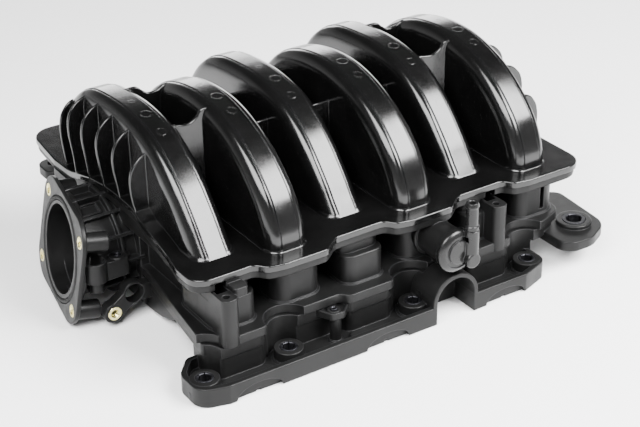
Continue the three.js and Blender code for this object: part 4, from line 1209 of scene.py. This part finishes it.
GLOSS = moulded("gloss_black_nylon", (0.0018, 0.0028, 0.008), (0.15, 0.21), (1500, 0.00002), 0.5)
SATIN = moulded("satin_black_nylon", (0.004, 0.007, 0.02), (0.34, 0.46), (2400, 0.00007), 0.18)
FITTING = moulded("fitting_black_nylon", (0.004, 0.007, 0.022), (0.22, 0.3), (1800, 0.00003), 0.3)
RUBBER = moulded("seal_rubber", (0.006, 0.01, 0.012), (0.6, 0.75), (3000, 0.0001), 0.3)
BRASS = metal("turned_brass", (0.8, 0.7, 0.28), (0.95, 0.9, 0.52), (0.22, 0.36))
STEEL = metal("phosphated_steel", (0.018, 0.018, 0.021), (0.045, 0.045, 0.05), (0.45, 0.6))


# ---- placing ----
def finish_piece(piece, name, nodes, material, sharp=33):
    """Moves a solid from the engine frame, in mm, to the CAD frame, in m, and puts it in place of nodes."""
    piece.name = name
    mesh = piece.data
    mesh.name = name
    mesh.transform(Matrix.Translation(DATUM) @ Matrix.Diagonal((MM, MM, MM, 1)))
    bm = bmesh.new()
    bm.from_mesh(mesh)
    bmesh.ops.remove_doubles(bm, verts=bm.verts, dist=1e-6)
    bmesh.ops.dissolve_limit(bm, angle_limit=math.radians(0.6), verts=bm.verts, edges=bm.edges)
    bm.to_mesh(mesh)
    bm.free()
    mesh.shade_smooth()
    mesh.set_sharp_from_angle(angle=math.radians(sharp))
    weighted = piece.modifiers.new("weighted", "WEIGHTED_NORMAL")
    weighted.keep_sharp = True
    mesh.materials.clear()
    mesh.materials.append(material)
    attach(piece, "root")
    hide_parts(*nodes)


def build_shells():
    finish_piece(upper_shell(), "runner_cover_shell", ["upper_shell"], GLOSS)
    finish_piece(middle_shell(), "plenum_and_duct_shell", ["middle_shell"], SATIN)
    finish_piece(lower_shell(), "head_flange_shell", ["lower_shell"], SATIN)


def build_sleeves():
    for i, x in enumerate(BOLT_X):
        sleeve = bolt_sleeve(x, BOLT_Y, (0, SLEEVE_LENGTH), SLEEVE_RADIUS, SLEEVE_BORE, SLEEVE_GROOVES)
        for side, piece in zip(("near", "far"), both_sides(sleeve)):
            node = f"bolt_sleeve_{side}_{i + 1}"
            finish_piece(piece, f"{node}_turned", [node], STEEL)
    ear = bolt_sleeve(*EAR_HOLE, EAR_SLEEVE_Z, EAR_SLEEVE_RADIUS, EAR_SLEEVE_BORE, 2)
    finish_piece(ear, "ear_sleeve_turned", ["ear_sleeve"], STEEL)
    pin = bolt_sleeve(*BRACKET_HOLE, PIN_Z, PIN_RADIUS, PIN_BORE, 1)
    finish_piece(pin, "bracket_pin_turned", ["bracket_pin"], STEEL)


def build_seals():
    for i, x in enumerate(NEAR_X):
        for side, piece in zip(("near", "far"), both_sides(port_seal(x))):
            node = f"port_seal_{side}_{i + 1}"
            finish_piece(piece, f"{node}_bead", [node], RUBBER)
    finish_piece(throttle_seal(), "throttle_o_ring", ["throttle_seal"], RUBBER)


def build_inserts():
    for i, (x, y) in enumerate(THROTTLE_BOLTS):
        insert = knurled_insert(INSERT_RADIUS, INSERT_BORE, INSERT_LENGTH)
        node = f"throttle_insert_{i + 1}"
        seat = THROTTLE @ Matrix.Translation((x, y, 0.1))
        finish_piece(moved(insert, seat), f"{node}_knurled", [node], BRASS)
    link = knurled_insert(LINK_INSERT_RADIUS, INSERT_BORE, LINK_Y[1] - LINK_Y[0] - 0.6)
    seat = Matrix.Translation((LINK_INSERT[0], LINK_Y[0] - 0.4, LINK_INSERT[1])) @ TO_NEAR_SIDE
    finish_piece(moved(link, seat), "link_insert_knurled", ["link_insert"], BRASS)
    sensor = knurled_insert(SENSOR_INSERT_RADIUS, SENSOR_INSERT_BORE, 10)
    seat = Matrix.Translation((*SENSOR_SCREW, 53.4))
    finish_piece(moved(sensor, seat), "sensor_insert_knurled", ["sensor_insert"], STEEL)


def build_fitting():
    finish_piece(fitting_cap(), "vacuum_cap", ["fitting_cap"], FITTING)
    finish_piece(hose_nipple(), "vacuum_nipple", ["hose_nipple"], FITTING)


def finish_runner_floors():
    for kind in ("low", "high"):
        for i in (1, 2, 3):
            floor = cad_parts[f"runner_floor_{kind}_{i}"]
            floor.material_slots[0].material = SATIN


# ---- studio ----
CAMERA_PLACE = Vector((-545.0, -909.7, 613.8))
CAMERA_AZIMUTH = math.radians(32.8)
CAMERA_DIP = math.radians(28.6)
CAMERA_ROLL = math.radians(-1.05)
LENS = 89.4


def to_row(point):
    """An engine-frame point in millimetres as a row-frame point in metres."""
    return Vector(point) * MM + DATUM


def build_camera():
    forward = Vector((
        math.sin(CAMERA_AZIMUTH) * math.cos(CAMERA_DIP),
        math.cos(CAMERA_AZIMUTH) * math.cos(CAMERA_DIP),
        -math.sin(CAMERA_DIP),
    ))
    level = Vector((math.cos(CAMERA_AZIMUTH), -math.sin(CAMERA_AZIMUTH), 0))
    upright = level.cross(forward)
    right = level * math.cos(CAMERA_ROLL) + upright * math.sin(CAMERA_ROLL)
    up = upright * math.cos(CAMERA_ROLL) - level * math.sin(CAMERA_ROLL)
    camera = bpy.data.objects.new("camera", bpy.data.cameras.new("camera"))
    camera.data.lens = LENS
    camera.data.sensor_width = 36
    camera.data.clip_start = 0.05
    turn = Matrix((right, up, -forward)).transposed().to_4x4()
    camera.matrix_world = Matrix.Translation(to_row(CAMERA_PLACE)) @ turn
    bpy.context.collection.objects.link(camera)
    bpy.context.scene.camera = camera


def softbox(name, direction, distance, size, power, target=(20, 0, 90)):
    lamp = bpy.data.lights.new(name, "AREA")
    lamp.shape = "RECTANGLE"
    lamp.size, lamp.size_y = size
    lamp.energy = power
    holder = bpy.data.objects.new(name, lamp)
    aim = Vector(direction).normalized()
    holder.location = to_row(target) + aim * distance
    holder.rotation_euler = aim.to_track_quat("Z", "Y").to_euler()
    bpy.context.collection.objects.link(holder)


def build_sky():
    """A dark ceiling that gets paler towards the horizon."""
    world = bpy.data.worlds.new("studio")
    world.use_nodes = True
    tree = world.node_tree
    place = tree.nodes.new("ShaderNodeTexCoord")
    split = tree.nodes.new("ShaderNodeSeparateXYZ")
    tree.links.new(place.outputs["Generated"], split.inputs["Vector"])
    background = tree.nodes["Background"]
    sky = ramp(tree, split.outputs["Z"], [(0.0, 0.9), (0.12, 0.7), (0.45, 0.12), (1.0, 0.08)])
    tree.links.new(sky, background.inputs["Color"])
    background.inputs["Strength"].default_value = 1.0
    bpy.context.scene.world = world


def build_studio():
    build_sky()
    softbox("key_softbox", (0.41, -0.60, 0.69), 1.3, (1.0, 0.62), 85)
    softbox("left_softbox", (-0.58, -0.40, 0.71), 1.3, (0.9, 0.7), 48)
    softbox("back_softbox", (0.62, 0.76, 0.16), 1.6, (1.6, 0.5), 18)
    mesh = bpy.data.meshes.new("floor")
    reach = 6.0
    corners = [(-reach, -reach, 0), (reach, -reach, 0), (reach, reach, 0), (-reach, reach, 0)]
    mesh.from_pydata(corners, [], [(0, 1, 2, 3)])
    floor = bpy.data.objects.new("floor", mesh)
    floor.location.z = cad_box[0][2] - 0.0005
    paper, tree, shader = node_tree("white_paper")
    tone = ramp(tree, noise(tree, 3, 2), [(0.3, (0.93, 0.93, 0.935)), (0.7, (0.95, 0.95, 0.95))])
    tree.links.new(tone, shader.inputs["Base Color"])
    shader.inputs["Roughness"].default_value = 0.9
    mesh.materials.append(paper)
    bpy.context.collection.objects.link(floor)


build_shells()
build_sleeves()
build_seals()
build_inserts()
build_fitting()
finish_runner_floors()
build_camera()
build_studio()
